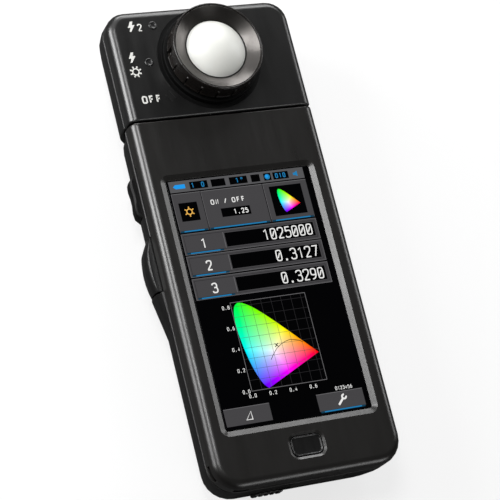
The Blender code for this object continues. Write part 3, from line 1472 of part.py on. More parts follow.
def selection_ring(parent):
    """The knurled ring, with the sleeve that carries the filter disc under the dome."""
    base = seat_face() + GAP
    top = CASE_DEPTH + RING_TOP
    lip_base = top - RING_LIP_HEIGHT
    waist = RING_RADIUS * RING_WAIST_SHARE
    grip_base = CASE_DEPTH + GRIP_BASE
    lip_inner = RING_LIP_RADIUS - RING_LIP_WIDTH
    sleeve_inner = RING_SLEEVE_RADIUS - RING_SLEEVE_WALL
    shoulder = CASE_DEPTH + CONE_MOUTH - CONE_SHEET - GAP
    profile = [
        (sleeve_inner, CASE_DEPTH - RING_SLEEVE_DEPTH),
        (RING_SLEEVE_RADIUS, CASE_DEPTH - RING_SLEEVE_DEPTH),
        (RING_SLEEVE_RADIUS, base),
        (waist, base),
        (waist, grip_base),
        (RING_RADIUS, grip_base + SEAT_BEVEL),
        (RING_RADIUS, lip_base - SEAT_BEVEL),
        (RING_LIP_RADIUS + SEAT_BEVEL / 2, lip_base),
        (RING_LIP_RADIUS, top - SEAT_BEVEL / 2),
        (RING_LIP_RADIUS - SEAT_BEVEL / 2, top),
        (lip_inner, top),
        (lip_inner, shoulder),
        (sleeve_inner, shoulder),
    ]
    ring = turned("light_selection_ring", profile, (0, HEAD_MIDDLE, 0), 3 * GRIP_COUNT)
    cutters = []
    for notch in range(GRIP_COUNT):
        angle = INDEX_ANGLE + math.tau * notch / GRIP_COUNT
        half = GRIP_NOTCH_WIDTH / 2
        inner = RING_RADIUS - GRIP_NOTCH_DEPTH
        outer = RING_RADIUS + OVERRUN
        bar = box("notch", (inner, -half, grip_base), (outer, half, lip_base - SEAT_BEVEL))
        bar.data.transform(Matrix.Translation((0, HEAD_MIDDLE, 0)) @ Matrix.Rotation(angle, 4, "Z"))
        cutters.append(bar)
    for place in (-1, 0, 1):
        angle = INDEX_ANGLE + math.pi + place * RING_TURN
        x = CLICK_BALL_PLACE * math.cos(angle)
        y = HEAD_MIDDLE + CLICK_BALL_PLACE * math.sin(angle)
        start = (x, y, base - OVERRUN)
        depth = OVERRUN + CLICK_BALL_RADIUS / 2
        cutters.append(rod("dimple", CLICK_BALL_RADIUS, start, depth, sides=CLICK_SEGMENTS))
    cut(ring, *cutters)
    return mount(ring, parent, "black rubber", (0, HEAD_MIDDLE, base))


def light_place(turn=0):
    """Where the light crosses the disc, beside the axis, counted back by a turn of the ring."""
    angle = INDEX_ANGLE + turn
    return LIGHT_OFFSET * math.cos(angle), HEAD_MIDDLE + LIGHT_OFFSET * math.sin(angle)


def filter_disc(parent):
    """A disc with an open hole and a filtered hole. At its third place it shuts out the light."""
    radius = RING_SLEEVE_RADIUS - RING_SLEEVE_WALL - GAP
    start = (0, HEAD_MIDDLE, DISC_UNDERSIDE)
    disc = rod("filter_disc", radius, start, DISC_THICKNESS, sides=ROUND_SIDES)
    holes = [
        rod(
            "post hole",
            HOLDER_POST_RADIUS + GAP,
            (0, HEAD_MIDDLE, DISC_UNDERSIDE - OVERRUN),
            DISC_THICKNESS + 2 * OVERRUN,
        )
    ]
    for turn in (0, RING_TURN):
        x, y = light_place(turn)
        low = (x, y, DISC_UNDERSIDE - OVERRUN)
        holes.append(rod("hole", DISC_HOLE_RADIUS, low, DISC_THICKNESS + 2 * OVERRUN))
    cut(disc, *holes)
    return mount(disc, parent, "black anodised aluminium", start)


def nd_filter(parent):
    x, y = light_place(RING_TURN)
    start = (x, y, DISC_UNDERSIDE)
    piece = rod("nd_filter", DISC_HOLE_RADIUS - GAP, start, DISC_THICKNESS)
    return mount(piece, parent, "grey glass", start)


def dome_holder(parent):
    """A cup under the dome, on a post that stands on the optical bench, with a hole for the light."""
    rim = CASE_DEPTH + CONE_MOUTH - CONE_SHEET - GAP
    floor = HOLDER_UNDERSIDE + HOLDER_FLOOR_THICKNESS
    post_base = BENCH_TOP + GAP + BENCH_COVER + GAP
    profile = [
        (0, post_base),
        (HOLDER_POST_RADIUS, post_base),
        (HOLDER_POST_RADIUS, HOLDER_UNDERSIDE),
        (HOLDER_RADIUS, HOLDER_UNDERSIDE),
        (HOLDER_RADIUS, rim),
        (HOLDER_BORE_RADIUS, rim),
        (HOLDER_BORE_RADIUS, floor),
        (0, floor),
    ]
    holder = turned("dome_holder", profile, (0, HEAD_MIDDLE, 0), INNER_SIDES)
    x, y = light_place()
    low = (x, y, HOLDER_UNDERSIDE - OVERRUN)
    hole = rod("hole", PIPE_RADIUS - GAP, low, HOLDER_FLOOR_THICKNESS + 2 * OVERRUN)
    cut(holder, hole)
    return mount(holder, parent, "satin black plastic")


def receptor_cone(parent):
    """The satin metal cone round the dome."""
    mouth = CASE_DEPTH + CONE_MOUTH
    top = CASE_DEPTH + CONE_TOP
    outer = RING_LIP_RADIUS - RING_LIP_WIDTH - GAP
    profile = [
        (CONE_MOUTH_RADIUS, mouth),
        (CONE_MOUTH_RADIUS, mouth - CONE_SHEET),
        (outer, mouth - CONE_SHEET),
        (outer, top),
        (outer - GAP, top),
    ]
    cone = turned("receptor_cone", profile, (0, HEAD_MIDDLE, 0))
    return mount(cone, parent, "satin aluminium")


def diffuser_dome(parent):
    base = CASE_DEPTH + CONE_MOUTH - CONE_SHEET
    edge = base + DOME_EDGE
    radius = (DOME_RADIUS**2 + DOME_RISE**2) / (2 * DOME_RISE)
    widest = math.asin(DOME_RADIUS / radius)
    profile = [
        (0, base - DOME_SPIGOT_DEPTH),
        (DOME_SPIGOT_RADIUS, base - DOME_SPIGOT_DEPTH),
        (DOME_SPIGOT_RADIUS, base),
        (DOME_RADIUS, base),
    ]
    for step in range(DOME_STEPS + 1):
        angle = widest * (1 - step / DOME_STEPS)
        height = edge + DOME_RISE - radius * (1 - math.cos(angle))
        profile.append((radius * math.sin(angle), height))
    profile[-1] = (0, edge + DOME_RISE)
    dome = turned("diffuser_dome", profile, (0, HEAD_MIDDLE, 0))
    return mount(dome, parent, "opal plastic")


# Optical bench


def light_pipe(parent):
    x, y = light_place()
    bottom = BENCH_TOP - BENCH_WALL
    start = (x, y, bottom)
    piece = rod("light_pipe", PIPE_RADIUS, start, DISC_UNDERSIDE - GAP - bottom)
    return mount(piece, parent, "clear acrylic", start)


def bench_walls():
    half = BENCH_WIDTH / 2
    return (-half, BENCH_END), (half, BENCH_END + BENCH_LENGTH)


def optical_bench(parent):
    (x0, y0), (x1, y1) = bench_walls()
    bench = box("optical_bench", (x0, y0, BENCH_BASE), (x1, y1, BENCH_TOP))
    wall = BENCH_WALL
    low = (x0 + wall, y0 + wall, BENCH_BASE + wall)
    high = (x1 - wall, y1 - wall, BENCH_TOP + OVERRUN)
    cut(bench, box("room", low, high))
    return mount(bench, parent, "black anodised aluminium")


def bench_cover(parent):
    (x0, y0), (x1, y1) = bench_walls()
    base = BENCH_TOP + GAP
    cover = box("bench_cover", (x0, y0, base), (x1, y1, base + BENCH_COVER))
    x, y = light_place()
    hole = rod("hole", PIPE_RADIUS + GAP, (x, y, base - OVERRUN), BENCH_COVER + 2 * OVERRUN)
    cut(cover, hole)
    return mount(cover, parent, "black anodised aluminium")


def bench_floor():
    return BENCH_BASE + BENCH_WALL + GAP


def slit_plate(parent):
    """The entrance slit, standing beside the foot of the light pipe."""
    x, y = light_place()
    x = x + PIPE_RADIUS + GAP
    half = SLIT_WIDTH / 2
    low = (x, y - half, bench_floor())
    high = (x + SLIT_THICKNESS, y + half, BENCH_TOP - GAP)
    plate = box("slit_plate", low, high)
    inner = SLIT_OPENING / 2
    rise = (high[2] - low[2]) / 4
    opening = box(
        "opening",
        (x - OVERRUN, y - inner, low[2] + rise),
        (x + SLIT_THICKNESS + OVERRUN, y + inner, high[2] - rise),
    )
    cut(plate, opening)
    return mount(plate, parent, "steel")


def concave_grating(parent):
    """A block with a hollow ruled face, against the bench's far wall."""
    (x0, y0), (x1, y1) = bench_walls()
    back = x1 - BENCH_WALL - GAP
    face = back - GRATING_THICKNESS
    half = GRATING_WIDTH / 2
    middle = (y0 + y1) / 2
    low = (face, middle - half, bench_floor())
    block = box("concave_grating", low, (back, middle + half, bench_floor() + GRATING_HEIGHT))
    hollow = math.sqrt(GRATING_RADIUS**2 - half**2)
    start = (face - hollow, middle, bench_floor() - OVERRUN)
    height = GRATING_HEIGHT + 2 * OVERRUN
    cut(block, rod("hollow", GRATING_RADIUS, start, height, sides=3 * ROUND_SIDES))
    return mount(block, parent, "grey glass")


def sensor_board(parent):
    """The line sensor on its own board, against the bench's near wall, beside the slit."""
    (x0, y0), (x1, y1) = bench_walls()
    low_y = y0 + BENCH_WALL + GAP
    half = SENSOR_BOARD_WIDTH / 2
    high = (half, low_y + SIDE_BOARD_THICKNESS, bench_floor() + SENSOR_BOARD_HEIGHT)
    board = box("sensor_board", (-half, low_y, bench_floor()), high)
    middle = bench_floor() + SENSOR_BOARD_HEIGHT / 2
    half = SENSOR_WIDTH / 2
    front = low_y + SIDE_BOARD_THICKNESS
    chip = box(
        "sensor",
        (-half, front - SIDE_BOARD_THICKNESS / 2, middle - SENSOR_HEIGHT / 2),
        (half, front + SENSOR_DEPTH, middle + SENSOR_HEIGHT / 2),
    )
    join(board, chip)
    return mount(board, parent, "circuit board")


# The whole instrument


def build():
    clear_scene()
    left_reach = measure_reach()
    right_reach = HALF_WIDTH + GAP + SYNC_CAP_THICKNESS
    bottom_reach = HALF_LENGTH + LATCH_PROUD
    device = empty("device", None, (0, 0, 0))
    device.location = ((left_reach - right_reach) / 2, (bottom_reach - HALF_LENGTH) / 2, 0)
    swivel = empty("swivel_axis", device, (0, SPLIT, SWIVEL_HEIGHT))
    dial = empty("ring_axis", swivel, (0, HEAD_MIDDLE, CASE_DEPTH))
    door = empty("door_slide", device, (0, DOOR_TOP_END, 0))

    front_shell(device)
    rear_shell(device)
    display_glass(device)
    lcd_module(device)
    main_board(device)
    menu_button(device)
    side_buttons(device)
    cell("cell_1", -1, True, device)
    cell("cell_2", 1, False, device)
    battery_tray(device)
    contacts(device)
    battery_door(door)
    battery_latch(door)
    usb_socket(device)
    usb_cover(device)
    sync_socket(device)
    sync_cap(device)
    tripod_bush(device)
    screws("case_screw", screw_places(BODY_SCREW_LOW, BODY_SCREW_HIGH), device)
    swivel_bearing(device)

    swivel_shaft(swivel)
    swivel_retainer(swivel)
    head_ribbon(swivel)
    head_front_shell(swivel)
    head_rear_shell(swivel)
    screws("head_screw", screw_places(HEAD_SCREW_LOW, HEAD_SCREW_HIGH), swivel)
    ring_seat(swivel)
    click_ball(swivel)
    dome_holder(swivel)
    receptor_cone(swivel)
    diffuser_dome(swivel)
    light_pipe(swivel)
    optical_bench(swivel)
    bench_cover(swivel)
    slit_plate(swivel)
    concave_grating(swivel)
    sensor_board(swivel)

    selection_ring(dial)
    filter_disc(dial)
    nd_filter(dial)


build()
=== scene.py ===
import json
import math
import bpy
import bmesh
from mathutils import Matrix, Vector

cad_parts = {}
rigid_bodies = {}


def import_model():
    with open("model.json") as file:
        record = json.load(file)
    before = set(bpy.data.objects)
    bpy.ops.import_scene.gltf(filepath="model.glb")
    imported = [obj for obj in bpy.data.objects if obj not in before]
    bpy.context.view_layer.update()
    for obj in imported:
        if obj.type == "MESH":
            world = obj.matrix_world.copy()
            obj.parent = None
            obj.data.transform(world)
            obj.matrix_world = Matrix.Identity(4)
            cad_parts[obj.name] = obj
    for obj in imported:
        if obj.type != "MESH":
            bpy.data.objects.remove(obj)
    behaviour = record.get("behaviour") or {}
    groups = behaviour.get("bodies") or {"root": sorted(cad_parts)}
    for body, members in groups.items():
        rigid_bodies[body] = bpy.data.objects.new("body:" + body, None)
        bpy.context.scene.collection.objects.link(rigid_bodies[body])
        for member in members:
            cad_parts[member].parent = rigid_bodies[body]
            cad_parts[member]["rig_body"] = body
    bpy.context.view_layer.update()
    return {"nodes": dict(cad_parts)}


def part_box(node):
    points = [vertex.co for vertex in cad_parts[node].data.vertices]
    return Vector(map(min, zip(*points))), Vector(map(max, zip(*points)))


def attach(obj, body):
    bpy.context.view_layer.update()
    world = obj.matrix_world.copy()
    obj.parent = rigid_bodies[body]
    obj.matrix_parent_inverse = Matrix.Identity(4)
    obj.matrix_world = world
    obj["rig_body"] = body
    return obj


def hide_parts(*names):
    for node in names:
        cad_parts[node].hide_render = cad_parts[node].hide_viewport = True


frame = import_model()
nodes = frame["nodes"]
print("frame loaded:", len(nodes), "nodes")

# Places are in millimetres from the middle of the case, heights from its flat back
caseLength = 183
shellLow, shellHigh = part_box("front_shell")
caseMiddle = Vector(((shellLow.x + shellHigh.x) / 2, shellLow.y + caseLength / 2000, 0))
ringMiddle = (0, 69.35)  # where the dome's axis crosses the face
faceHeight = 27.0
glassHeight = 26.2


def at(x, y, z):
    return caseMiddle + Vector((x, y, z)) / 1000


# ---- materials: helpers

def linear(hexColour):
    parts = [int(hexColour[i:i + 2], 16) / 255 for i in (1, 3, 5)]
    return tuple(c / 12.92 if c <= 0.04045 else ((c + 0.055) / 1.055) ** 2.4 for c in parts) + (1.0,)


def addNode(tree, kind, values=None, links=None, **settings):
    node = tree.nodes.new("ShaderNode" + kind)
    for name, value in settings.items():
        setattr(node, name, value)
    for socket, value in (values or {}).items():
        node.inputs[socket].default_value = value
    for socket, source in (links or {}).items():
        tree.links.new(source, node.inputs[socket])
    return node


def newMaterial(name, middle=(0, 0, 0)):
    # the object's own coordinates, turned to millimetres from the given place
    material = bpy.data.materials.new(name)
    material.use_nodes = True
    tree = material.node_tree
    tree.nodes.clear()
    own = addNode(tree, "TexCoord").outputs["Object"]
    offset = Vector(at(*middle)) * -1000
    mm = addNode(tree, "VectorMath", {1: (1000, 1000, 1000), 2: offset}, {0: own}, operation="MULTIPLY_ADD")
    return material, tree, mm.outputs[0]


def closeMaterial(tree, shader):
    addNode(tree, "OutputMaterial", links={"Surface": shader.outputs[0]})


def mixColours(tree, share, first, second):
    # share is a socket, and each colour a hex value or a socket
    node = addNode(tree, "Mix", links={0: share}, data_type="RGBA")
    for socket, colour in ((6, first), (7, second)):
        if isinstance(colour, str):
            node.inputs[socket].default_value = linear(colour)
        else:
            tree.links.new(colour, node.inputs[socket])
    return node.outputs[2]


def edgeMask(tree, radiusMm, start=0.985, full=0.86):
    # white where the surface turns sharply, which is where handling rubs it
    rounded = addNode(tree, "Bevel", {"Radius": radiusMm / 1000}, samples=3).outputs[0]
    flat = addNode(tree, "NewGeometry").outputs["Normal"]
    turn = addNode(tree, "VectorMath", links={0: rounded, 1: flat}, operation="DOT_PRODUCT").outputs["Value"]
    return addNode(tree, "MapRange", {1: start, 2: full, 3: 0.0, 4: 1.0}, {0: turn}).outputs[0]


def mouldedFinish(name, look):
    # mould grain as bump, a slow drift of tone, small scuffs in the gloss and rubbed edges
    material, tree, mm = newMaterial(name)
    drift = addNode(tree, "TexNoise", {"Scale": 1 / look["driftMm"], "Detail": 2.0}, {"Vector": mm}).outputs[0]
    grain = addNode(tree, "TexNoise", {"Scale": 1 / look["grainMm"], "Detail": 3.0}, {"Vector": mm}).outputs[0]
    long = addNode(tree, "VectorMath", {1: look.get("scuffRun", (1, 0.12, 1))}, {0: mm}, operation="MULTIPLY")
    scuff = addNode(tree, "TexNoise", {"Scale": 1 / look["scuffMm"], "Detail": 5.0, "Roughness": 0.7},
                    {"Vector": long.outputs[0]}).outputs[0]
    colour = mixColours(tree, drift, look["colour"], look["second"])
    if look.get("edge"):
        rubbed = scaled(tree, edgeMask(tree, look["edgeMm"]), look["edgeShare"])
        colour = mixColours(tree, rubbed, colour, look["edge"])
    low, high = look["rough"]
    gloss = addNode(tree, "MapRange", {1: 0.3, 2: 0.7, 3: low, 4: high}, {0: scuff}).outputs[0]
    bump = addNode(tree, "Bump", {"Strength": look["bump"], "Distance": look["grainDepthMm"] / 1000},
                   {"Height": grain})
    values = {"Metallic": look.get("metal", 0.0)}
    if not look.get("metal"):
        values["IOR"] = look.get("ior", 1.5)
        values["Specular IOR Level"] = look.get("mirror", 0.5)
    shader = addNode(tree, "BsdfPrincipled", values,
                     {"Base Color": colour, "Roughness": gloss, "Normal": bump.outputs[0]})
    closeMaterial(tree, shader)
    return material


def scaled(tree, value, factor):
    return addNode(tree, "Math", {1: factor}, {0: value}, operation="MULTIPLY").outputs[0]


def turnedFinish(name, look):
    # fine grooves round an upright axis, as a lathe leaves them: they draw each light out across the grooves
    material, tree, mm = newMaterial(name, look["middle"])
    across = addNode(tree, "VectorMath", {1: (1, 1, 0)}, {0: mm}, operation="MULTIPLY").outputs[0]
    radius = addNode(tree, "VectorMath", links={0: across}, operation="LENGTH").outputs["Value"]
    height = addNode(tree, "SeparateXYZ", links={0: mm}).outputs["Z"]
    place = addNode(tree, "CombineXYZ", links={0: radius, 1: height}).outputs[0]
    groove = addNode(tree, "TexNoise", {"Scale": 1 / look["grooveMm"], "Detail": 4.0, "Roughness": 0.7},
                     {"Vector": place}).outputs[0]
    patch = addNode(tree, "TexNoise", {"Scale": 1 / look["patchMm"], "Detail": 2.0}, {"Vector": mm}).outputs[0]
    colour = mixColours(tree, groove, look["colour"], look["second"])
    low, high = look["rough"]
    gloss = addNode(tree, "MapRange", {1: 0.3, 2: 0.7, 3: low, 4: high}, {0: patch}).outputs[0]
    bump = addNode(tree, "Bump", {"Strength": look["bump"], "Distance": 0.00002}, {"Height": groove}).outputs[0]
    tangent = addNode(tree, "Tangent", direction_type="RADIAL", axis="Z").outputs[0]
    shader = addNode(tree, "BsdfPrincipled",
                     {"Metallic": 1.0, "Anisotropic": look["drawn"], "Anisotropic Rotation": 0.25},
                     {"Base Color": colour, "Roughness": gloss, "Normal": bump, "Tangent": tangent})
    closeMaterial(tree, shader)
    return material


def clearFinish(name, look):
    # polished clear stock with faint flow lines
    material, tree, mm = newMaterial(name)
    flow = addNode(tree, "TexNoise", {"Scale": 1 / look["flowMm"], "Detail": 2.0}, {"Vector": mm}).outputs[0]
    gloss = addNode(tree, "MapRange", {3: 0.02, 4: 0.09}, {0: flow}).outputs[0]
    colour = mixColours(tree, flow, look["colour"], look["second"])
    bump = addNode(tree, "Bump", {"Strength": 0.1, "Distance": 0.00002}, {"Height": flow}).outputs[0]
    shader = addNode(tree, "BsdfPrincipled", {"IOR": look["ior"], "Transmission Weight": look["clear"]},
                     {"Base Color": colour, "Roughness": gloss, "Normal": bump})
    closeMaterial(tree, shader)
    return material


screenCellMm = 0.39  # the display's cells are 0.19 mm apart, drawn coarser so that they show
screenBase = {"Base Color": (0.0005, 0.0005, 0.0005, 1), "Roughness": 0.08, "Specular IOR Level": 0.1}


def litFinish(name, look):
    # light from the display, with its rows of cells
    material, tree, mm = newMaterial(name)
    split = addNode(tree, "SeparateXYZ", links={0: mm})
    lines = [scaled(tree, split.outputs[i], math.tau / screenCellMm) for i in (0, 1)]
    waves = [addNode(tree, "Math", links={0: line}, operation="SINE").outputs[0] for line in lines]
    both = addNode(tree, "Math", links={0: waves[0], 1: waves[1]}, operation="ADD").outputs[0]
    level = addNode(tree, "MapRange", {1: -2.0, 2: 2.0, 3: look["power"] * 0.94, 4: look["power"]}, {0: both})
    shader = addNode(tree, "BsdfPrincipled", {**screenBase, "Emission Color": linear(look["colour"])},
                     {"Emission Strength": level.outputs[0]})
    closeMaterial(tree, shader)
    return material


# ---- materials: what each surface is made of

satinAbs = mouldedFinish("moulded satin ABS", {  # soft sheen, near black, slightly warm
    "colour": "#131211", "second": "#181716", "driftMm": 28, "grainMm": 0.35, "grainDepthMm": 0.02, "bump": 0.12,
    "scuffMm": 5, "rough": (0.27, 0.34), "ior": 1.6, "edge": "#3a3836", "edgeMm": 0.5, "edgeShare": 0.5})
headAbsWithPaintedShade = mouldedFinish("moulded satin ABS, head with painted shade", {  # the same plastic, a shade cooler, and darker as painted shade on the head's face
    "colour": "#0d0d0d", "second": "#111111", "driftMm": 22, "grainMm": 0.35, "grainDepthMm": 0.02, "bump": 0.12,
    "scuffMm": 5, "rough": (0.27, 0.34), "ior": 1.6, "edge": "#383838", "edgeMm": 0.5, "edgeShare": 0.5})
texturedPc = mouldedFinish("spark-textured polycarbonate", {  # fine pebble that breaks up every highlight a little
    "colour": "#0d0d0d", "second": "#121212", "driftMm": 20, "grainMm": 0.45, "grainDepthMm": 0.03, "bump": 0.3,
    "scuffMm": 4, "rough": (0.36, 0.46), "mirror": 0.3, "edge": "#3c3b3a", "edgeMm": 0.5, "edgeShare": 0.7})
glossAbs = mouldedFinish("polished ABS", {  # smooth keys, the oil of fingers in the gloss
    "colour": "#080808", "second": "#0d0d0d", "driftMm": 9, "grainMm": 1.2, "grainDepthMm": 0.01, "bump": 0.05,
    "scuffMm": 3, "rough": (0.26, 0.36), "edge": "#2e2e30", "edgeMm": 0.4, "edgeShare": 0.4})
mattKey = mouldedFinish("matt ABS key", {  # the small key, which hardly shines
    "colour": "#080808", "second": "#0c0c0c", "driftMm": 6, "grainMm": 0.4, "grainDepthMm": 0.02, "bump": 0.15,
    "scuffMm": 2, "rough": (0.42, 0.52), "mirror": 0.15, "edge": "#343433", "edgeMm": 0.4, "edgeShare": 0.7})
ringNylon = mouldedFinish("moulded nylon", {  # the ring: dark, warm and a little oily
    "colour": "#110e0c", "second": "#181412", "driftMm": 6, "grainMm": 0.5, "grainDepthMm": 0.02, "bump": 0.10,
    "scuffMm": 3, "rough": (0.24, 0.32), "edge": "#3a3532", "edgeMm": 0.2, "edgeShare": 0.5})
darkAbsAndPaintedShade = mouldedFinish("matt ABS", {  # the fixed collar: near black as painted shade for the recess round the ring; the battery tray's own plain black too
    "colour": "#020202", "second": "#040404", "driftMm": 9, "grainMm": 0.4, "grainDepthMm": 0.03, "bump": 0.2,
    "scuffMm": 3, "rough": (0.5, 0.6), "mirror": 0.12, "edge": "#101010", "edgeMm": 0.3, "edgeShare": 0.3})
rubber = mouldedFinish("moulded rubber", {  # matt covers that hold dust
    "colour": "#121212", "second": "#1b1b1a", "driftMm": 7, "grainMm": 0.3, "grainDepthMm": 0.03, "bump": 0.3,
    "scuffMm": 2.5, "rough": (0.66, 0.80), "edge": "#2c2c2b", "edgeMm": 0.4, "edgeShare": 0.5})
coverGlass = mouldedFinish("black-backed cover glass", {  # deep black under a hard gloss with faint smears
    "colour": "#010102", "second": "#020203", "driftMm": 30, "grainMm": 9, "grainDepthMm": 0.002, "bump": 0.02,
    "scuffMm": 14, "rough": (0.04, 0.09), "ior": 1.52, "mirror": 0.12})
blackAnodised = mouldedFinish("black anodised aluminium", {  # dull dark metal of the bench, grain of fine blasting
    "colour": "#232327", "second": "#2c2c30", "driftMm": 12, "grainMm": 0.25, "grainDepthMm": 0.03, "bump": 0.3,
    "scuffMm": 3, "rough": (0.42, 0.55), "metal": 0.85, "edge": "#6b6b70", "edgeMm": 0.3, "edgeShare": 0.5})
boardLaminate = mouldedFinish("glass-epoxy laminate", {  # green lacquer over woven glass and copper
    "colour": "#0c3a20", "second": "#155231", "driftMm": 2.2, "grainMm": 0.6, "grainDepthMm": 0.03, "bump": 0.25,
    "scuffMm": 2, "rough": (0.28, 0.45), "edge": "#7b7a4c", "edgeMm": 0.3, "edgeShare": 0.8})
polyimide = mouldedFinish("polyimide ribbon", {  # amber film over copper tracks
    "colour": "#8a4710", "second": "#a85f1c", "driftMm": 1.0, "grainMm": 0.8, "grainDepthMm": 0.01, "bump": 0.15,
    "scuffMm": 1.5, "rough": (0.25, 0.40), "scuffRun": (1, 0.05, 1)})
cellSleeve = mouldedFinish("shrunk PVC sleeve", {  # plain dark sleeve with shrink ripples
    "colour": "#22252a", "second": "#2d3036", "driftMm": 8, "grainMm": 1.6, "grainDepthMm": 0.02, "bump": 0.2,
    "scuffMm": 3, "rough": (0.22, 0.36), "edge": "#8d8f94", "edgeMm": 0.4, "edgeShare": 0.6})
sheetSteel = mouldedFinish("stamped stainless steel", {  # rolled sheet, fine lines along the strip
    "colour": "#a8a8aa", "second": "#bcbcbe", "driftMm": 4, "grainMm": 0.3, "grainDepthMm": 0.01, "bump": 0.15,
    "scuffMm": 0.8, "rough": (0.22, 0.38), "metal": 1.0, "edge": "#d6d6d8", "edgeMm": 0.2, "edgeShare": 0.5})
whiteInk = mouldedFinish("screen-printed white ink", {  # slightly broken cover over the grain
    "colour": "#dcdcd8", "second": "#c8c8c4", "driftMm": 0.9, "grainMm": 0.25, "grainDepthMm": 0.01, "bump": 0.1,
    "scuffMm": 1, "rough": (0.5, 0.62)})
spunAluminium = turnedFinish("spun satin aluminium", {  # the receptor's cone
    "middle": (*ringMiddle, 0), "colour": "#575553", "second": "#686563", "grooveMm": 0.22, "patchMm": 6,
    "rough": (0.30, 0.37), "bump": 0.25, "drawn": 0.75})
turnedBrass = turnedFinish("turned brass", {  # the tripod bush
    "middle": (0, 12.15, 0), "colour": "#b08d45", "second": "#caa65a", "grooveMm": 0.25, "patchMm": 2,
    "rough": (0.22, 0.36), "bump": 0.3, "drawn": 0.5})
clearAcrylic = clearFinish("polished clear acrylic", {  # the light pipe
    "colour": "#e8eef2", "second": "#dfe8ee", "flowMm": 3, "ior": 1.49, "clear": 0.9})
greyGlass = clearFinish("neutral grey glass", {  # the filter
    "colour": "#55565a", "second": "#5c5d60", "flowMm": 4, "ior": 1.52, "clear": 0.85})


def opalFinish(name, look):
    # light sinks into cast opal and comes out again, so its shading is soft and its edge slightly grey
    material, tree, mm = newMaterial(name, (*ringMiddle, 0))
    haze = addNode(tree, "TexNoise", {"Scale": 1 / look["hazeMm"], "Detail": 3.0}, {"Vector": mm}).outputs[0]
    colour = mixColours(tree, haze, look["colour"], look["second"])
    gloss = addNode(tree, "MapRange", {3: look["rough"][0], 4: look["rough"][1]}, {0: haze}).outputs[0]
    bump = addNode(tree, "Bump", {"Strength": 0.05, "Distance": 0.00002}, {"Height": haze}).outputs[0]
    shader = addNode(tree, "BsdfPrincipled",
                     {"IOR": 1.49, "Subsurface Weight": look["sink"], "Subsurface Radius": (1.0, 0.95, 0.9),
                      "Subsurface Scale": look["sinkMm"] / 1000},
                     {"Base Color": colour, "Roughness": gloss, "Normal": bump})
    closeMaterial(tree, shader)
    return material


opalAcrylic = opalFinish("cast opal acrylic", {
    "colour": "#deded9", "second": "#d6d7d2", "hazeMm": 5, "rough": (0.34, 0.42), "sink": 0.35, "sinkMm": 1.6})

finishes = {
    "satin_black": satinAbs, "textured_black": texturedPc, "gloss_black": glossAbs, "ring_rubber": ringNylon,
    "display_glass": coverGlass, "opal": opalAcrylic, "cone_aluminium": spunAluminium,
    "black_aluminium": blackAnodised, "steel": sheetSteel, "brass": turnedBrass, "circuit_board": boardLaminate,
    "ribbon": polyimide, "cell_sleeve": cellSleeve, "clear_acrylic": clearAcrylic, "grey_glass": greyGlass}
print("materials made")


# ---- pieces: helpers

def makePiece(name, mesh, material, body, replaced=(), sharp=None):
    piece = bpy.data.objects.new(name, mesh)
    bpy.context.scene.collection.objects.link(piece)
    mesh.materials.clear()
    mesh.materials.append(material)
    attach(piece, body)
    if replaced:
        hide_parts(*replaced)
    if sharp:
        smoothShade(piece, sharp)
    return piece


def nodeSlot(node):
    return nodes[node].data.materials[0].name.split(".")[0]


def smoothShade(piece, angle):
    piece.data.shade_smooth()
    piece.data.set_sharp_from_angle(angle=math.radians(angle))
    shading = piece.modifiers.new("shading", "WEIGHTED_NORMAL")
    shading.keep_sharp = True
    shading.weight = 60


def softened(node, name, material, edgeMm, angle):
    # the CAD shape with its faces joined again, small round edges and smooth shading
    mesh = nodes[node].data.copy()
    mesh.name = name
    if mesh.attributes.get("custom_normal"):
        mesh.attributes.remove(mesh.attributes["custom_normal"])
    shape = bmesh.new()
    shape.from_mesh(mesh)
    bmesh.ops.remove_doubles(shape, verts=shape.verts, dist=2e-6)
    bmesh.ops.dissolve_limit(shape, angle_limit=math.radians(0.5), verts=shape.verts, edges=shape.edges)
    shape.to_mesh(mesh)
    shape.free()
    piece = makePiece(name, mesh, material, nodes[node]["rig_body"], [node])
    edge = piece.modifiers.new("edge", "BEVEL")
    edge.width = edgeMm / 1000
    edge.segments = 2
    edge.limit_method = "ANGLE"
    edge.angle_limit = math.radians(40)
    smoothShade(piece, angle)


def meshFrom(name, points, faces):
    mesh = bpy.data.meshes.new(name)
    mesh.from_pydata([tuple(p) for p in points], [], [tuple(f) for f in faces])
    mesh.validate()
    shape = bmesh.new()
    shape.from_mesh(mesh)
    bmesh.ops.recalc_face_normals(shape, faces=shape.faces)
    shape.to_mesh(mesh)
    shape.free()
    return mesh


def bridge(near, far, count):
    # the faces between two loops of as many points
    return [(near + i, near + (i + 1) % count, far + (i + 1) % count, far + i) for i in range(count)]


def revolved(name, rows, angles, middle, depth=None):
    # rows of (radius, height, share of the depth) round a middle. The first row follows the last one
    points, faces = [], []
    count = len(angles)
    for radius, height, share in rows:
        for angle in angles:
            r = radius - share * (depth(angle) if depth else 0)
            points.append(at(middle[0] + r * math.cos(angle), middle[1] + r * math.sin(angle), height))
    for i in range(len(rows)):
        faces += bridge(i * count, (i + 1) % len(rows) * count, count)
    mesh = meshFrom(name, points, faces)
    shape = bmesh.new()
    shape.from_mesh(mesh)
    bmesh.ops.remove_doubles(shape, verts=shape.verts, dist=1e-7)
    bmesh.ops.recalc_face_normals(shape, faces=shape.faces)
    shape.to_mesh(mesh)
    shape.free()
    return mesh


def evenAngles(count):
    return [math.tau * i / count for i in range(count)]


# ---- case, keys, covers and fittings: the CAD shapes, softened

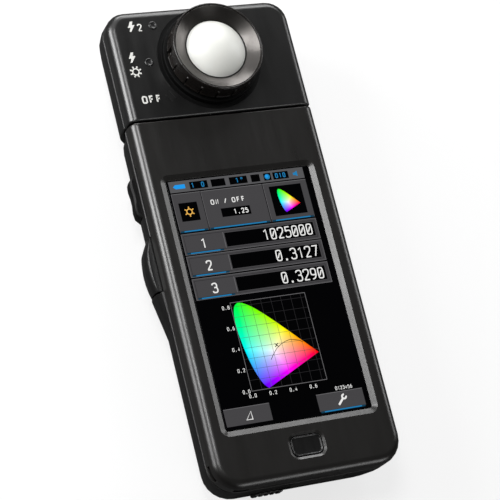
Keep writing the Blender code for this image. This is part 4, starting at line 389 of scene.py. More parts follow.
softPieces = (  # node, piece, finish, edge in mm, angle over which an edge stays sharp
    ("front_shell", "bodyFrontShell", satinAbs, 0.16, 20),
    ("head_front_shell", "headFrontShell", headAbsWithPaintedShade, 0.16, 20),
    ("rear_shell", "bodyRearShell", texturedPc, 0.3, 32),
    ("head_rear_shell", "headRearShell", texturedPc, 0.3, 32),
    ("battery_door", "batteryDoor", texturedPc, 0.14, 32),
    ("battery_latch", "doorLatch", satinAbs, 0.12, 32),
    ("usb_cover", "socketFlap", rubber, 0.15, 32),
    ("sync_cap", "terminalCap", rubber, 0.2, 32),
    ("measuring_button", "measuringKey", glossAbs, 0.3, 42),
    ("memory_button", "memoryKey", mattKey, 0.25, 42),
    ("power_button", "powerKey", glossAbs, 0.2, 42),
    ("display_glass", "coverGlassPane", coverGlass, 0.08, 32),
    ("tripod_bush", "tripodBush", turnedBrass, 0.08, 32),
    ("usb_socket", "usbShell", sheetSteel, 0.06, 32),
    ("sync_socket", "syncTerminal", sheetSteel, 0.08, 32),
    ("battery_tray", "batteryTray", darkAbsAndPaintedShade, 0.1, 32),
    ("cell_1", "cellOne", cellSleeve, 0.25, 32),
    ("cell_2", "cellTwo", cellSleeve, 0.25, 32),
)
for node, name, material, edgeMm, angle in softPieces:
    softened(node, name, material, edgeMm, angle)
print("case, keys and covers made")


# ---- menu key: a shallow dish inside a thin round rim

menuKey = {
    "half": (5.85, 3.6), "middle": (0, -80.2), "corner": 2.1, "least": 0.4,
    "plunger": (1.5, 22.2, 23.8), "plungerSides": 20,  # radius, and the heights of its ends
    "rows": (  # inset from the outline, height
        (-1.2, 23.8), (-1.2, 24.9), (0, 24.9), (0, 26.45), (0.06, 26.58), (0.16, 26.64), (0.30, 26.64),
        (0.40, 26.58), (0.50, 26.44), (0.62, 26.38), (1.2, 26.35), (2.0, 26.34))}


def roundedOutline(halfWidth, halfLength, corner, steps=6):
    outline = []
    for sx, sy, first in ((1, -1, -90), (1, 1, 0), (-1, 1, 90), (-1, -1, 180)):
        for step in range(steps + 1):
            angle = math.radians(first + 90 * step / steps)
            outline.append((sx * (halfWidth - corner) + corner * math.cos(angle),
                            sy * (halfLength - corner) + corner * math.sin(angle)))
    return outline


points, faces = [], []
for inset, height in menuKey["rows"]:
    width, length = menuKey["half"][0] - inset, menuKey["half"][1] - inset
    for x, y in roundedOutline(width, length, max(menuKey["corner"] - inset, menuKey["least"])):
        points.append(at(menuKey["middle"][0] + x, menuKey["middle"][1] + y, height))
count = len(points) // len(menuKey["rows"])
for row in range(len(menuKey["rows"]) - 1):
    faces += bridge(row * count, (row + 1) * count, count)
faces += [tuple(range(count)), tuple(range(len(points) - count, len(points)))]
start, sides = len(points), menuKey["plungerSides"]
radius, *ends = menuKey["plunger"]
points += [at(menuKey["middle"][0] + radius * math.cos(a), menuKey["middle"][1] + radius * math.sin(a), z)
           for z in ends for a in evenAngles(sides)]
faces += bridge(start, start + sides, sides) + [tuple(range(start, start + sides))]
makePiece("menuKey", meshFrom("menuKey", points, faces), glossAbs, "menu_key", ["menu_button"], 50)
print("menu key made")

# every other CAD node keeps its shape and gets its finish
for node, piece in nodes.items():
    finish = finishes[nodeSlot(node)]
    for slot in piece.material_slots:
        slot.material = finish


# ---- selection ring

ring = {
    "count": 17, "index": 175, "notchHalf": 0.2, "notchEdge": 0.18, "notchDepth": 0.7,
    "indexHalf": 0.9, "indexDepth": 1.4, "radius": 17.45,
    "offsets": (  # where the rows have points, in mm along the rim from each notch's middle
        -1.35, -1.1, -0.98, -0.9, -0.6, -0.38, -0.29, -0.2, 0, 0.2, 0.29, 0.38, 0.6, 0.9, 0.98, 1.1, 1.35, 3.2),
    "rows": (  # radius, height, share of the notches' depth
        (15.5, 30.3, 0), (16.9, 30.3, 0), (17.2, 30.36, 0.7), (17.42, 30.55, 1), (17.5, 30.8, 1), (17.48, 31.05, 1),
        (17.34, 31.25, 1), (17.28, 31.6, 1), (17.3, 33.2, 1), (17.33, 34.6, 1), (17.36, 35.0, 0.9),
        (17.4, 35.3, 0.45), (17.42, 35.5, 0.1), (17.43, 35.7, 0), (17.44, 37.4, 0), (17.42, 37.9, 0),
        (17.34, 38.2, 0), (17.2, 38.36, 0), (17.0, 38.42, 0), (16.78, 38.4, 0), (16.66, 38.3, 0), (16.6, 38.1, 0),
        (16.6, 34.95, 0), (14.85, 34.95, 0), (14.85, 22.0, 0), (15.5, 22.0, 0)),
    "stud": (0.55, 17.3, 35.5),  # radius of the small round end of each notch, and its place
    "studSides": (12, 8),
}


def ringDepth(angle):
    # how deep the ring is cut at an angle
    pitch = math.tau / ring["count"]
    turn = (angle - math.radians(ring["index"]) + pitch / 2) % math.tau - pitch / 2
    first = abs(turn) < pitch / 2
    turn = (turn + pitch / 2) % pitch - pitch / 2
    half, deep = (ring["indexHalf"], ring["indexDepth"]) if first else (ring["notchHalf"], ring["notchDepth"])
    out = abs(turn) * ring["radius"] - half
    share = min(1, max(0, 1 - out / ring["notchEdge"]))
    return deep * share * share * (3 - 2 * share)


def ringAngles():
    start = math.radians(ring["index"])
    return [start + math.tau * notch / ring["count"] + offset / ring["radius"]
            for notch in range(ring["count"]) for offset in ring["offsets"]]


def addStuds(mesh):
    # a small bead, sunk in part, closes the top of every notch but the index's
    size, radius, height = ring["stud"]
    across, up = ring["studSides"]
    shape = bmesh.new()
    shape.from_mesh(mesh)
    for notch in range(1, ring["count"]):
        angle = math.radians(ring["index"]) + math.tau * notch / ring["count"]
        place = at(ringMiddle[0] + radius * math.cos(angle), ringMiddle[1] + radius * math.sin(angle), height)
        bmesh.ops.create_uvsphere(shape, u_segments=across, v_segments=up, radius=size / 1000,
                                  matrix=Matrix.Translation(place))
    shape.to_mesh(mesh)
    shape.free()


ringMesh = revolved("selectionRing", ring["rows"], ringAngles(), ringMiddle, ringDepth)
addStuds(ringMesh)
makePiece("selectionRing", ringMesh, ringNylon, "selection_ring", ["light_selection_ring"], 38)

# the collar under it: the hub that the ring runs on, and round it a low black disc on the face, a painted shadow
# standing for a recess
collar = {"sides": 120, "rows": (
    (15.85, 27.04, 0), (18.6, 27.04, 0), (20.0, 27.02, 0), (20.15, 27.04, 0), (20.22, 27.1, 0), (20.2, 27.17, 0),
    (20.1, 27.21, 0), (19.95, 27.2, 0), (19.8, 27.14, 0), (18.7, 27.12, 0), (18.55, 27.2, 0), (18.5, 29.1, 0),
    (18.42, 29.4, 0), (18.2, 29.56, 0), (15.85, 29.56, 0))}
collarMesh = revolved("ringHubAndShadeDisc", collar["rows"], evenAngles(collar["sides"]), ringMiddle)
# the outer flat part of this disc is painted shade, near black where a recess would lie in shadow
makePiece("ringHubAndShadeDisc", collarMesh, darkAbsAndPaintedShade, "head", ["ring_seat"], 38)


# ---- receptor: cone and dome

cone = {
    "mouth": (11.9, 35.45), "rim": (16.3, 38.2), "sag": 0.1, "underside": 35.2, "steps": 10, "sides": 120,
    "back": ((16.37, 38.18, 0), (16.4, 38.1, 0), (16.4, 36.0, 0), (15.7, 35.2, 0))}  # its outside, downwards
rows = [(cone["mouth"][0], cone["underside"], 0)]
for i in range(cone["steps"] + 1):
    share = i / cone["steps"]
    sag = cone["sag"] * math.sin(math.pi * share)
    rows.append((cone["mouth"][0] + (cone["rim"][0] - cone["mouth"][0]) * share,
                 cone["mouth"][1] + (cone["rim"][1] - cone["mouth"][1]) * share - sag, 0))
rows += cone["back"]
coneMesh = revolved("receptorCone", rows, evenAngles(cone["sides"]), ringMiddle)
makePiece("receptorCone", coneMesh, spunAluminium, "head", ["receptor_cone"], 30)

dome = {
    "radius": 11.35, "edge": 35.4, "rise": 4.4, "base": 35.24, "round": (0.1, 0.05), "spigot": 10.35,
    "spigotBase": 33.5, "steps": 14, "sides": 96, "pole": 1e-5}
ball = (dome["radius"] ** 2 + dome["rise"] ** 2) / (2 * dome["rise"])
widest = math.asin(dome["radius"] / ball)
rows = [(dome["pole"], dome["spigotBase"], 0), (dome["spigot"], dome["spigotBase"], 0),
        (dome["spigot"], dome["base"], 0), (dome["radius"] - dome["round"][0], dome["base"], 0),
        (dome["radius"], dome["base"] + dome["round"][1], 0)]
for i in range(dome["steps"] + 1):
    angle = widest * (1 - i / dome["steps"])
    height = dome["edge"] + dome["rise"] - ball * (1 - math.cos(angle))
    rows.append((max(dome["pole"], ball * math.sin(angle)), height, 0))
domeMesh = revolved("diffuserDome", rows, evenAngles(dome["sides"]), ringMiddle)
makePiece("diffuserDome", domeMesh, opalAcrylic, "head", ["diffuser_dome"], 35)
print("ring, collar, cone and dome made")


# ---- flat prints: symbols, numbers and the display's page

class Print:
    # thin solids that lie on a face, gathered into one mesh

    def __init__(self, low, high):
        self.low, self.high = low, high
        self.points, self.faces = [], []

    def add(self, outline, lift=0):
        start, count = len(self.points), len(outline)
        for height in (self.low, self.high + lift):
            self.points += [at(x, y, height) for x, y in outline]
        self.faces += [tuple(range(start, start + count)), tuple(range(start + count, start + 2 * count))]
        self.faces += bridge(start, start + count, count)

    def rect(self, left, right, low, high, corner=0):
        if not corner:
            self.add([(left, low), (right, low), (right, high), (left, high)])
            return
        outline = []
        for x, y, first in ((right - corner, low + corner, -90), (right - corner, high - corner, 0),
                            (left + corner, high - corner, 90), (left + corner, low + corner, 180)):
            for step in range(5):
                angle = math.radians(first + 22.5 * step)
                outline.append((x + corner * math.cos(angle), y + corner * math.sin(angle)))
        self.add(outline)

    def line(self, start, end, width):
        (x0, y0), (x1, y1) = start, end
        length = math.hypot(x1 - x0, y1 - y0)
        nx, ny = (y0 - y1) / length * width / 2, (x1 - x0) / length * width / 2
        self.add([(x0 + nx, y0 + ny), (x0 - nx, y0 - ny), (x1 - nx, y1 - ny), (x1 + nx, y1 + ny)])

    def stroke(self, places, width, closed=False):
        # a line of even width through the places, mitred where it turns
        count = len(places)
        sides = []
        for i, (x, y) in enumerate(places):
            before = places[i - 1] if closed or i else None
            after = places[(i + 1) % count] if closed or i < count - 1 else None
            ways = []
            for (x0, y0), (x1, y1) in ([(before, (x, y))] if before else []) + ([((x, y), after)] if after else []):
                length = math.hypot(x1 - x0, y1 - y0)
                ways.append(((y0 - y1) / length, (x1 - x0) / length))
            nx, ny = sum(w[0] for w in ways) / len(ways), sum(w[1] for w in ways) / len(ways)
            size = max(nx * nx + ny * ny, 0.35)
            nx, ny = nx / size * width / 2, ny / size * width / 2
            sides.append(((x + nx, y + ny), (x - nx, y - ny)))
        for i in range(count if closed else count - 1):
            (a, b), (c, d) = sides[i], sides[(i + 1) % count]
            self.add([a, b, d, c])

    def frame(self, left, right, low, high, width):
        self.rect(left, right, low, low + width)
        self.rect(left, right, high - width, high)
        self.rect(left, left + width, low + width, high - width)
        self.rect(right - width, right, low + width, high - width)

    def circle(self, x, y, outer, inner=0, sides=28):
        ends = [(math.cos(a), math.sin(a)) for a in evenAngles(sides)]
        if not inner:
            self.add([(x + outer * c, y + outer * s) for c, s in ends])
            return
        for (c0, s0), (c1, s1) in zip(ends, ends[1:] + ends[:1]):
            self.add([(x + outer * c0, y + outer * s0), (x + outer * c1, y + outer * s1),
                      (x + inner * c1, y + inner * s1), (x + inner * c0, y + inner * s0)])

    def sun(self, x, y, size, rays=8, width=0.3):
        self.circle(x, y, size * 0.64, size * 0.42)
        for angle in evenAngles(rays):
            c, s = math.cos(angle + math.pi / rays), math.sin(angle + math.pi / rays)
            self.line((x + c * size * 0.6, y + s * size * 0.6), (x + c * size, y + s * size), width)

    def bolt(self, x, y, size):
        shape = ((-0.04, 0.5), (-0.34, -0.1), (-0.1, -0.1), (-0.26, -0.5), (-0.1, -0.5), (0.34, 0.14), (0.08, 0.14),
                 (0.22, 0.5))
        self.add([(x + a * size, y + b * size) for a, b in shape])

    def text(self, words, x, y, height, pitch, width, slash=True):
        # one sign to each pitch, from the left, with its foot at y
        inner = height - width
        for i, sign in enumerate(words):
            for kind, places in signs.get(sign, ()):
                if kind == "slash" and not slash:
                    continue
                if kind in ("curve", "loop"):
                    places = softPath(places, kind == "loop")
                foot = x + pitch * i + width / 2
                pen = [(foot + px * inner, y + width / 2 + py * inner) for px, py in places]
                self.stroke(pen, width, kind == "loop")

    def make(self, name, material, body, slot):
        return makePiece(name, meshFrom(name, self.points, self.faces), material, body)


def softPath(places, closed):
    # cuts the corners of a path twice, which leaves round bends
    for _ in range(2):
        cut = []
        last = len(places) if closed else len(places) - 1
        for i in range(last):
            (x0, y0), (x1, y1) = places[i], places[(i + 1) % len(places)]
            cut += [(0.75 * x0 + 0.25 * x1, 0.75 * y0 + 0.25 * y1), (0.25 * x0 + 0.75 * x1, 0.25 * y0 + 0.75 * y1)]
        places = cut if closed else [places[0]] + cut + [places[-1]]
    return places


def roundLoop(right, low, bendX, bendY):
    # a tall round sign, from its left side upwards
    return ((0, low + bendY), (0, 1 - bendY), (bendX, 1), (right - bendX, 1), (right, 1 - bendY),
            (right, low + bendY), (right - bendX, low), (bendX, low))


signs = {  # a plain round-cornered alphabet drawn with one pen, in shares of a sign's height
    "0": (("loop", roundLoop(0.48, 0, 0.12, 0.08)), ("slash", ((0.12, 0.26), (0.36, 0.74)))),
    "1": (("line", ((0.06, 0.80), (0.28, 0.98), (0.28, 0.0))),),
    "2": (("curve", ((0.0, 0.76), (0.0, 1.0), (0.5, 1.02), (0.5, 0.62), (0.28, 0.36), (0.02, 0.02))),
          ("line", ((0.0, 0.0), (0.5, 0.0)))),
    "3": (("curve", ((0.0, 0.82), (0.04, 1.0), (0.48, 1.02), (0.50, 0.54), (0.18, 0.54))),
          ("curve", ((0.18, 0.54), (0.52, 0.54), (0.52, 0.0), (0.04, -0.02), (0.0, 0.18)))),
    "4": (("line", ((0.38, 0.0), (0.38, 0.98), (0.0, 0.28), (0.52, 0.28))),),
    "5": (("line", ((0.46, 0.99), (0.06, 0.99), (0.04, 0.56))),
          ("curve", ((0.04, 0.56), (0.22, 0.66), (0.54, 0.62), (0.50, 0.0), (0.06, -0.02), (0.0, 0.14)))),
    "6": (("loop", ((0.02, 0.05), (0.02, 0.55), (0.14, 0.62), (0.36, 0.62), (0.48, 0.54), (0.48, 0.08), (0.36, 0),
                    (0.12, 0))),
          ("curve", ((0.01, 0.34), (0.02, 0.72), (0.20, 0.96), (0.42, 1.0)))),
    "7": (("line", ((0.0, 0.99), (0.5, 0.99), (0.2, 0.0))),),
    "8": (("loop", ((0.0, 0.06), (0.0, 0.46), (0.12, 0.54), (0.38, 0.54), (0.5, 0.46), (0.5, 0.06), (0.38, 0),
                    (0.12, 0))),
          ("loop", ((0.03, 0.60), (0.03, 0.94), (0.14, 1.0), (0.36, 1.0), (0.47, 0.94), (0.47, 0.60),
                    (0.36, 0.54), (0.14, 0.54)))),
    "9": (("loop", roundLoop(0.48, 0.4, 0.12, 0.08)),
          ("curve", ((0.48, 0.66), (0.46, 0.28), (0.30, 0.04), (0.08, 0.0)))),
    "O": (("loop", roundLoop(0.64, 0, 0.16, 0.12)),),
    "N": (("line", ((0.02, 0.0), (0.02, 1.0), (0.48, 0.0), (0.48, 1.0))),),
    "F": (("line", ((0.04, 0.0), (0.04, 0.99), (0.50, 0.99))), ("line", ((0.04, 0.52), (0.44, 0.52)))),
    "/": (("line", ((0.02, 0.0), (0.42, 1.0))),),
    ".": (("line", ((0.12, -0.02), (0.30, -0.02))), ("line", ((0.12, 0.06), (0.30, 0.06))))}


# ---- marks on the head

marks = {
    "high": 0.02, "sunk": 0.01, "bolt": 4.1, "bolts": ((-27.15, 84.85), (-29.7, 72.5)), "sun": (-29.6, 66.7, 2.3),
    "rays": (8, 0.52),
    "words": (("2", -24.9, 82.7, 3.0, 2.6, 0.46), ("OFF", -29.9, 53.85, 3.1, 2.75, 0.62))}  # as Print.text takes them
ink = Print(faceHeight - marks["sunk"], faceHeight + marks["high"])
for x, y in marks["bolts"]:
    ink.bolt(x, y, marks["bolt"])
ink.sun(*marks["sun"], *marks["rays"])
for word in marks["words"]:
    ink.text(*word)
ink.make("headSymbols", whiteInk, "head", "opal")

# the two round marks are shallow cups with a raised lip, and the third is a short pair of ridges
cup = {"places": ((-18.7, 84.6), (-23.6, 70.0)), "sides": 40, "rows": (
    (1e-5, 26.97, 0), (1e-5, 27.03, 0), (0.75, 27.03, 0), (0.98, 27.10, 0), (1.16, 27.24, 0), (1.32, 27.26, 0),
    (1.5, 27.20, 0), (1.66, 27.06, 0), (1.7, 26.97, 0))}
for name, place in zip(("indexCupUpper", "indexCupMiddle"), cup["places"]):
    mesh = revolved(name, cup["rows"], evenAngles(cup["sides"]), place)
    makePiece(name, mesh, glossAbs, "head", sharp=50)

ridges = {"radii": (22.0, 24.0), "half": 1.85, "angle": 215.9, "width": 0.42, "high": 0.2, "sunk": 0.02}
bars = Print(faceHeight - ridges["sunk"], faceHeight + ridges["high"])
angle = math.radians(ridges["angle"])
for radius in ridges["radii"]:
    x, y = ringMiddle[0] + radius * math.cos(angle), ringMiddle[1] + radius * math.sin(angle)
    dx, dy = -math.sin(angle) * ridges["half"], math.cos(angle) * ridges["half"]
    bars.line((x - dx, y - dy), (x + dx, y + dy), ridges["width"])
bars.make("indexRidges", headAbsWithPaintedShade, "head", "satin_black")
print("marks made")


# ---- the display's page

page = {
    "edges": (-27.4, 25.9), "grey": "#464547", "bar": "#58585a", "line": "#6c6b6d", "dark": "#000001",
    "blue": "#2280b8", "bright": "#1f9cf0", "softBlue": "#123c52", "white": "#f0f0ee", "orange": "#e9b254",
    "dim": "#2b2a2c", "sunk": 0.01,
    "lifts": {"grey": 0.02, "bar": 0.02, "dim": 0.025, "line": 0.03, "dark": 0.03, "softBlue": 0.035, "blue": 0.04,
              "bright": 0.045, "white": 0.045, "orange": 0.04}}  # height over the glass of each colour's print
lit = {name: litFinish("display light, " + name, {"colour": page[name], "power": 1.0}) for name in page["lifts"]}
base = glassHeight - page["sunk"]
layers = {name: Print(base, base + lift) for name, lift in page["lifts"].items()}
left, right = page["edges"]
blue, bright, white, dark, line = (layers[name] for name in ("blue", "bright", "white", "dark", "line"))


def underline(x0, x1, y):
    # the blue light under a key fades out at both ends
    layers["softBlue"].rect(x0, x1, y - 0.36, y + 0.30, 0.28)
    blue.rect(x0 + 1.4, x1 - 1.4, y - 0.20, y + 0.20, 0.15)


# status bar with its cells
bar = {
    "low": 18.7, "high": 23.0, "cellLow": 19.35, "cellHigh": 22.2, "pen": 0.34,
    "cells": ((-19.5, -12.5), (-11.1, -5.6), (-3.9, 3.15), (4.7, 8.2), (9.8, 12.7), (13.5, 19.7)),
    "arrow": ((-25.2, 20.15), (-25.2, 21.45), (-26.0, 20.8)),
    "horn": ((21.6, 20.2), (22.3, 20.2), (23.3, 19.7), (23.3, 21.9), (22.3, 21.2), (21.6, 21.2))}
layers["bar"].rect(left, right, bar["low"], bar["high"])
for x0, x1 in bar["cells"]:
    dark.rect(x0, x1, bar["cellLow"], bar["cellHigh"])
bright.rect(-25.2, -21.3, 20.0, 21.6, 0.2)
bright.add(bar["arrow"])
blue.text("1", -18.9, 19.8, 2.0, 2.0, bar["pen"])
blue.text("0", -15.0, 19.8, 2.0, 2.0, bar["pen"], False)
blue.text("1", -1.4, 19.8, 2.0, 1.6, bar["pen"])
blue.circle(1.0, 21.4, 0.42, 0.2, 14)
blue.circle(11.2, 20.8, 1.05, 0, 20)
bright.circle(11.0, 21.0, 0.6, 0, 16)
blue.text("010", 14.4, 19.85, 1.9, 1.5, bar["pen"], False)
blue.add(bar["horn"])

# three keys under the bar
keys = {"low": 3.3, "high": 18.2, "edge": 0.2, "side": (0.14, 4.4), "light": 3.6, "pen": 0.34}
for x0, x1 in ((left, -16.2), (-15.95, 8.25), (8.55, right)):
    top = keys["high"] - keys["edge"]
    layers["grey"].rect(x0, x1, keys["low"], keys["high"])
    line.rect(x0, x1, top, keys["high"])
    line.rect(x0, x0 + keys["side"][0], keys["side"][1], top)
    underline(x0 + 0.3, x1 - 0.3, keys["light"])
dark.rect(-25.5, -18.4, 7.4, 14.5)
layers["orange"].sun(-21.95, 10.95, 1.95, 6, 0.42)
for word, x in (("ON", -13.1), ("/", -7.9), ("OFF", -4.8)):
    white.text(word, x, 12.5, 2.0, 1.9, keys["pen"])
dark.rect(-9.9, 1.5, 7.35, 10.7)
white.text("1.25", -5.1, 8.0, 2.0, 1.5, keys["pen"])
dark.rect(10.7, 23.5, 5.2, 16.8)

# three readings: a key, and a black field framed in grey
reading = {
    "height": 8.0, "fieldTop": 1.35, "fieldLow": 6.65, "fieldLeft": -10.9, "fieldRight": 24.35, "foot": 6.2,
    "pitch": 2.88, "end": 23.45, "gap": 0.5, "rim": 0.16,
    "lines": ((2.7, "1", "1025000"), (-5.8, "2", "0.3127"), (-14.4, "3", "0.3290"))}  # top, key, value
for high, key, value in reading["lines"]:
    low = high - reading["height"]
    layers["grey"].rect(left, right, low, high)
    layers["dim"].frame(left + 0.75, right - 0.85, low + 0.75, high - 0.75, reading["rim"])
    line.frame(left, right, low, high, reading["rim"])
    line.rect(-11.5, -11.3, low + 1.0, high - 1.0)
    dark.rect(reading["fieldLeft"], reading["fieldRight"], high - reading["fieldLow"], high - reading["fieldTop"])
    underline(left + 0.7, -12.4, low + 0.5)
    white.text(key, -20.6, high - reading["foot"], 3.9, 2.8, 0.5)
    start = reading["end"] - reading["pitch"] * len(value) + reading["gap"]
    white.text(value, start, high - reading["foot"], 4.4, reading["pitch"], 0.46)

# keys at the foot of the page
foot = {"low": -69.35, "edge": -63.2, "high": -63.0, "keys": ((-27.6, -10.1), (8.25, 26.4))}
for x0, x1 in foot["keys"]:
    layers["grey"].rect(x0, x1, foot["low"], foot["high"])
    line.rect(x0, x1, foot["edge"], foot["high"])
underline(8.6, 26.1, -69.55)
white.stroke([(-19.75, -67.85), (-17.55, -64.95), (-17.4, -67.85)], 0.32, True)
white.line((16.1, -67.9), (18.3, -65.6), 0.75)
white.circle(18.75, -65.15, 1.1, 0.45, 20)
layers["grey"].add([(18.75, -65.15), (19.0, -63.8), (20.1, -64.9)], 0.03)
white.text("0123456", 16.2, -62.45, 1.35, 0.98, 0.17, False)

# chart: one unit of the scale is this many millimetres, from the lower left corner
chart = {
    "left": -15.25, "low": -57.95, "unit": (39.15, 39.2), "most": (0.747, 0.842), "rim": 0.1, "half": 0.07,
    "label": (1.4, 1.05, 0.17), "beside": (3.5, 0.65), "under": (1.5, 2.4)}  # size of the numbers, and their places
locus = (  # edge of all the colours that the eye sees, in the chart's own units: standard values
    (0.174, 0.005), (0.164, 0.011), (0.157, 0.018), (0.144, 0.030), (0.136, 0.040), (0.124, 0.058), (0.110, 0.087),
    (0.091, 0.133), (0.069, 0.201), (0.045, 0.295), (0.024, 0.413), (0.013, 0.500), (0.008, 0.538), (0.004, 0.600),
    (0.004, 0.655), (0.008, 0.710), (0.014, 0.750), (0.025, 0.790), (0.039, 0.812), (0.055, 0.826), (0.074, 0.834),
    (0.095, 0.832), (0.114, 0.826), (0.155, 0.806), (0.193, 0.782), (0.230, 0.754), (0.302, 0.692), (0.373, 0.625),
    (0.444, 0.555), (0.513, 0.487), (0.575, 0.424), (0.627, 0.373), (0.666, 0.334), (0.692, 0.308), (0.719, 0.281),
    (0.735, 0.265))


def onChart(x, y, scale=chart):
    return scale["left"] + x * scale["unit"][0], scale["low"] + y * scale["unit"][1]


farRight, farHigh = onChart(*chart["most"])
rim, half = chart["rim"], chart["half"]
line.frame(chart["left"] - rim, farRight + rim, chart["low"] - rim, farHigh + rim, 2 * rim)
for i in range(1, 8):
    x, _ = onChart(i / 10, 0)
    layers["dim"].rect(x - half, x + half, chart["low"], farHigh)
for i in range(1, 9):
    _, y = onChart(0, i / 10)
    layers["dim"].rect(chart["left"], farRight, y - half, y + half)
for i in range(0, 9, 2):
    _, y = onChart(0, i / 10)
    white.text("0.%d" % i, chart["left"] - chart["beside"][0], y - chart["beside"][1], *chart["label"], False)
for i in range(0, 7, 2):
    x, _ = onChart(i / 10, 0)
    white.text("0.%d" % i, x - chart["under"][0], chart["low"] - chart["under"][1], *chart["label"], False)

screenColours = {  # from the chart's three coordinates to red, green and blue light, and how they are evened out
    "rows": ((3.1, -0.2, -0.1), (-1.4, 3.6, 0.1), (0.05, -0.15, 2.5)), "power": 1.1}


def spectrumFinish(name, scale):
    # each place of the chart shines in its own colour, worked out from its two coordinates
    material, tree, mm = newMaterial(name, (scale["left"], scale["low"], 0))
    units = addNode(tree, "VectorMath", {1: (1 / scale["unit"][0], 1 / scale["unit"][1], 0)}, {0: mm},
                    operation="MULTIPLY")
    split = addNode(tree, "SeparateXYZ", links={0: units.outputs[0]})
    x, y = split.outputs[0], split.outputs[1]
    both = addNode(tree, "Math", links={0: x, 1: y}, operation="ADD").outputs[0]
    third = addNode(tree, "Math", {0: 1.0}, {1: both}, operation="SUBTRACT").outputs[0]
    stimulus = addNode(tree, "CombineXYZ", links={0: x, 1: y, 2: third}).outputs[0]
    channels = []
    for row in screenColours["rows"]:
        dot = addNode(tree, "VectorMath", {1: row}, {0: stimulus}, operation="DOT_PRODUCT").outputs["Value"]
        channels.append(addNode(tree, "Math", {1: 0.0}, {0: dot}, operation="MAXIMUM").outputs[0])
    most = addNode(tree, "Math", links={0: channels[0], 1: channels[1]}, operation="MAXIMUM").outputs[0]
    most = addNode(tree, "Math", links={0: most, 1: channels[2]}, operation="MAXIMUM").outputs[0]
    evened = []
    for channel in channels:
        part = addNode(tree, "Math", links={0: channel, 1: most}, operation="DIVIDE").outputs[0]
        evened.append(addNode(tree, "Math", {1: screenColours["power"]}, {0: part}, operation="POWER").outputs[0])
    colour = addNode(tree, "CombineColor", links=dict(enumerate(evened))).outputs[0]
    shader = addNode(tree, "BsdfPrincipled", {**screenBase, "Emission Strength": 1.0}, {"Emission Color": colour})
    closeMaterial(tree, shader)
    return material


# the large chart, the small one in the third cell, and the grid over the large one
small = {"left": 13.45, "low": 6.3, "unit": (11.1, 11.1)}
for name, label, scale, lift in (("chartColours", "chart", chart, 0.03),
                                 ("cellChartColours", "small chart", small, 0.045)):
    colours = Print(base, base + lift)
    colours.add([onChart(x, y, scale) for x, y in locus])
    colours.make(name, spectrumFinish("display light, " + label, scale), "case", "display_glass")
thinGrid = {"colour": "#4c5c52", "power": 0.75, "width": 0.11, "lift": 0.036}
over = Print(base, base + thinGrid["lift"])


def inside(x, y):
    # whether a place lies within the locus
    hit = False
    for (x0, y0), (x1, y1) in zip(locus, locus[1:] + locus[:1]):
        if (y0 > y) != (y1 > y) and x < (x1 - x0) * (y - y0) / (y1 - y0) + x0:
            hit = not hit
    return hit


def spans(places):
    # the runs of places that lie within the locus
    runs, run = [], []
    for place in places:
        if inside(*place):
            run.append(place)
        elif run:
            runs.append(run)
            run = []
    return runs + ([run] if run else [])


for i in range(1, 9):
    for places in ([(i / 10, k / 200) for k in range(171)], [(k / 200, i / 10) for k in range(149)]):
        for run in spans(places):
            if len(run) > 1:
                over.line(onChart(*run[0]), onChart(*run[-1]), thinGrid["width"])
over.make("chartGrid", litFinish("display light, thin grid", thinGrid), "case", "display_glass")

# the curve of glowing bodies and the cross of the reading
curve = {
    "places": ((0.257, 0.26), (0.291, 0.305), (0.338, 0.356), (0.39, 0.39), (0.44, 0.411), (0.483, 0.421),
               (0.526, 0.415), (0.569, 0.403), (0.607, 0.381)),
    "width": 0.2, "lift": 0.04, "cross": (0.345, 0.388), "arm": 0.65, "armWidth": 0.3}
trace = Print(base, base + curve["lift"])
trace.stroke([onChart(x, y) for x, y in curve["places"]], curve["width"])
(x, y), arm = onChart(*curve["cross"]), curve["arm"]
trace.line((x - arm, y - arm), (x + arm, y + arm), curve["armWidth"])
trace.line((x - arm, y + arm), (x + arm, y - arm), curve["armWidth"])
trace.make("chartCurve", lit["dark"], "case", "display_glass")

for name, layer in layers.items():
    layer.make("page" + name[0].upper() + name[1:], lit[name], "case", "display_glass")
print("display made")


# ---- floor, lights and camera

studio = {
    "world": "#464646", "worldPower": 1.0, "floorPaint": "#f4f4f4", "underPaint": "#5a5a5a",
    "shine": 0.75, "fade": (0.15, 0.7),  # share of plain white near the object, and from where to where it rises
    "floor": (2.0, 0.8, 1.8), "floorSides": 64,  # flat radius, round of the corner and height of the wall, in metres
    "lamps": (  # name, direction from the object, distance, width and height in metres, radiance
        ("leftHigh", (-0.83, 0.48, 0.37), 0.95, 0.38, 0.45, 14.5),  # drawn along the left edge of the case
        ("leftMid", (-0.90, 0.18, 0.40), 0.9, 0.30, 0.45, 5.5),
        ("topBox", (-0.25, 0.80, 0.55), 1.0, 0.8, 0.6, 1.2),
        ("overBox", (-0.33, 0.275, 0.905), 1.0, 0.34, 0.3, 14.0),  # drawn along the window's right bevel
        ("rightBox", (0.885, 0.275, 0.375), 0.9, 0.4, 0.3, 4.6),  # and its left bevel
        ("backBox", (0.38, 0.81, 0.45), 0.9, 0.4, 0.3, 7.0),  # and its bottom bevel
        ("footBox", (0.38, -0.88, 0.28), 0.9, 0.5, 0.3, 3.0),  # the bottom end of the case
        ("tailBox", (0.125, 0.98, 0.17), 0.95, 0.45, 0.25, 8.0)),  # the near side of the cone
}
flat, bend, wall = studio["floor"]
profile = [(0, 0), (flat, 0)]
for degrees in range(10, 91, 10):
    angle = math.radians(degrees)
    profile.append((flat + bend * math.sin(angle), bend * (1 - math.cos(angle))))
profile.append((flat + bend, wall))
points = [(0, 0, 0)]
sides = studio["floorSides"]
for radius, height in profile[1:]:
    points += [(radius * math.cos(a), radius * math.sin(a), height) for a in evenAngles(sides)]
faces = [(0, 1 + i, 1 + (i + 1) % sides) for i in range(sides)]
for row in range(len(profile) - 2):
    faces += bridge(1 + row * sides, 1 + (row + 1) * sides, sides)
floorMesh = bpy.data.meshes.new("paperSweep")
floorMesh.from_pydata(points, [], faces)
floorMesh.shade_smooth()
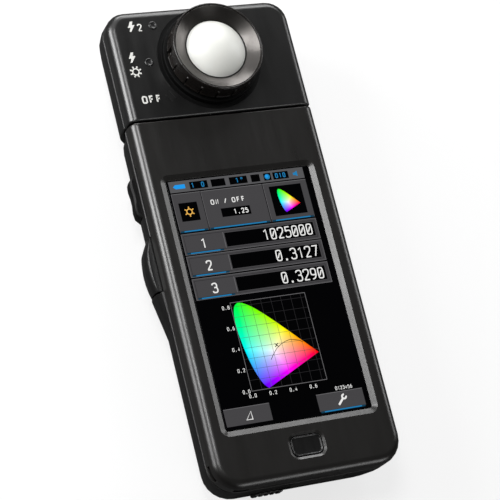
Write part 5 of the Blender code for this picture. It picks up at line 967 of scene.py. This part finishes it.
floor = bpy.data.objects.new("paperSweep", floorMesh)
bpy.context.scene.collection.objects.link(floor)
floorMaterial = bpy.data.materials.new("matt white paper")
floorMaterial.use_nodes = True
tree = floorMaterial.node_tree
tree.nodes.clear()
path = addNode(tree, "LightPath")
paint = mixColours(tree, path.outputs["Is Camera Ray"], studio["underPaint"], studio["floorPaint"])
paper = addNode(tree, "BsdfDiffuse", links={"Color": paint}).outputs[0]
shine = addNode(tree, "Emission", {"Color": (1, 1, 1, 1), "Strength": 1.0}).outputs[0]
# seen by the camera, the paper fades to plain white away from the object, and its shadow stays
away = addNode(tree, "VectorMath", links={0: addNode(tree, "TexCoord").outputs["Object"]}, operation="LENGTH")
faded = addNode(tree, "MapRange", {1: studio["fade"][0], 2: studio["fade"][1], 3: studio["shine"], 4: 1.0},
                {0: away.outputs["Value"]}, interpolation_type="SMOOTHSTEP").outputs[0]
share = addNode(tree, "Math", links={0: path.outputs["Is Camera Ray"], 1: faded}, operation="MULTIPLY").outputs[0]
mixed = addNode(tree, "MixShader", links={0: share, 1: paper, 2: shine})
addNode(tree, "OutputMaterial", links={"Surface": mixed.outputs[0]})
floorMesh.materials.append(floorMaterial)

world = bpy.data.worlds.new("studio")
world.use_nodes = True
world.node_tree.nodes.clear()
sky = addNode(world.node_tree, "Background", {"Color": linear(studio["world"]), "Strength": studio["worldPower"]})
addNode(world.node_tree, "OutputWorld", links={"Surface": sky.outputs[0]})
bpy.context.scene.world = world

target = at(0, 0, 20)  # the lamps face the middle of the object
for name, direction, distance, width, height, radiance in studio["lamps"]:
    lamp = bpy.data.lights.new(name, "AREA")
    lamp.shape = "RECTANGLE"
    lamp.size, lamp.size_y = width, height
    lamp.energy = radiance * math.pi * width * height
    holder = bpy.data.objects.new(name, lamp)
    way = Vector(direction).normalized()
    holder.location = target + way * distance
    holder.rotation_mode = "QUATERNION"
    holder.rotation_quaternion = way.to_track_quat("Z", "Y")
    bpy.context.scene.collection.objects.link(holder)

view = {  # where the photograph was taken from, in mm from the case's middle, and the camera's own axes
    "place": (-278.708, -204.911, 663.014), "right": (0.916215, -0.236624, 0.323357),
    "down": (-0.119774, -0.931843, -0.342523), "forward": (0.382368, 0.275095, -0.88211), "lens": 144.0,
    "film": 36, "reach": (0.05, 20)}
cameraData = bpy.data.cameras.new("photoView")
cameraData.lens = view["lens"]
cameraData.sensor_width = view["film"]
cameraData.clip_start, cameraData.clip_end = view["reach"]
camera = bpy.data.objects.new("photoView", cameraData)
axes = Matrix((view["right"], [-v for v in view["down"]], [-v for v in view["forward"]])).transposed()
camera.matrix_world = Matrix.Translation(at(*view["place"])) @ axes.to_4x4()
bpy.context.scene.collection.objects.link(camera)
bpy.context.scene.camera = camera
bpy.context.scene.view_settings.view_transform = "Standard"
print("studio made")
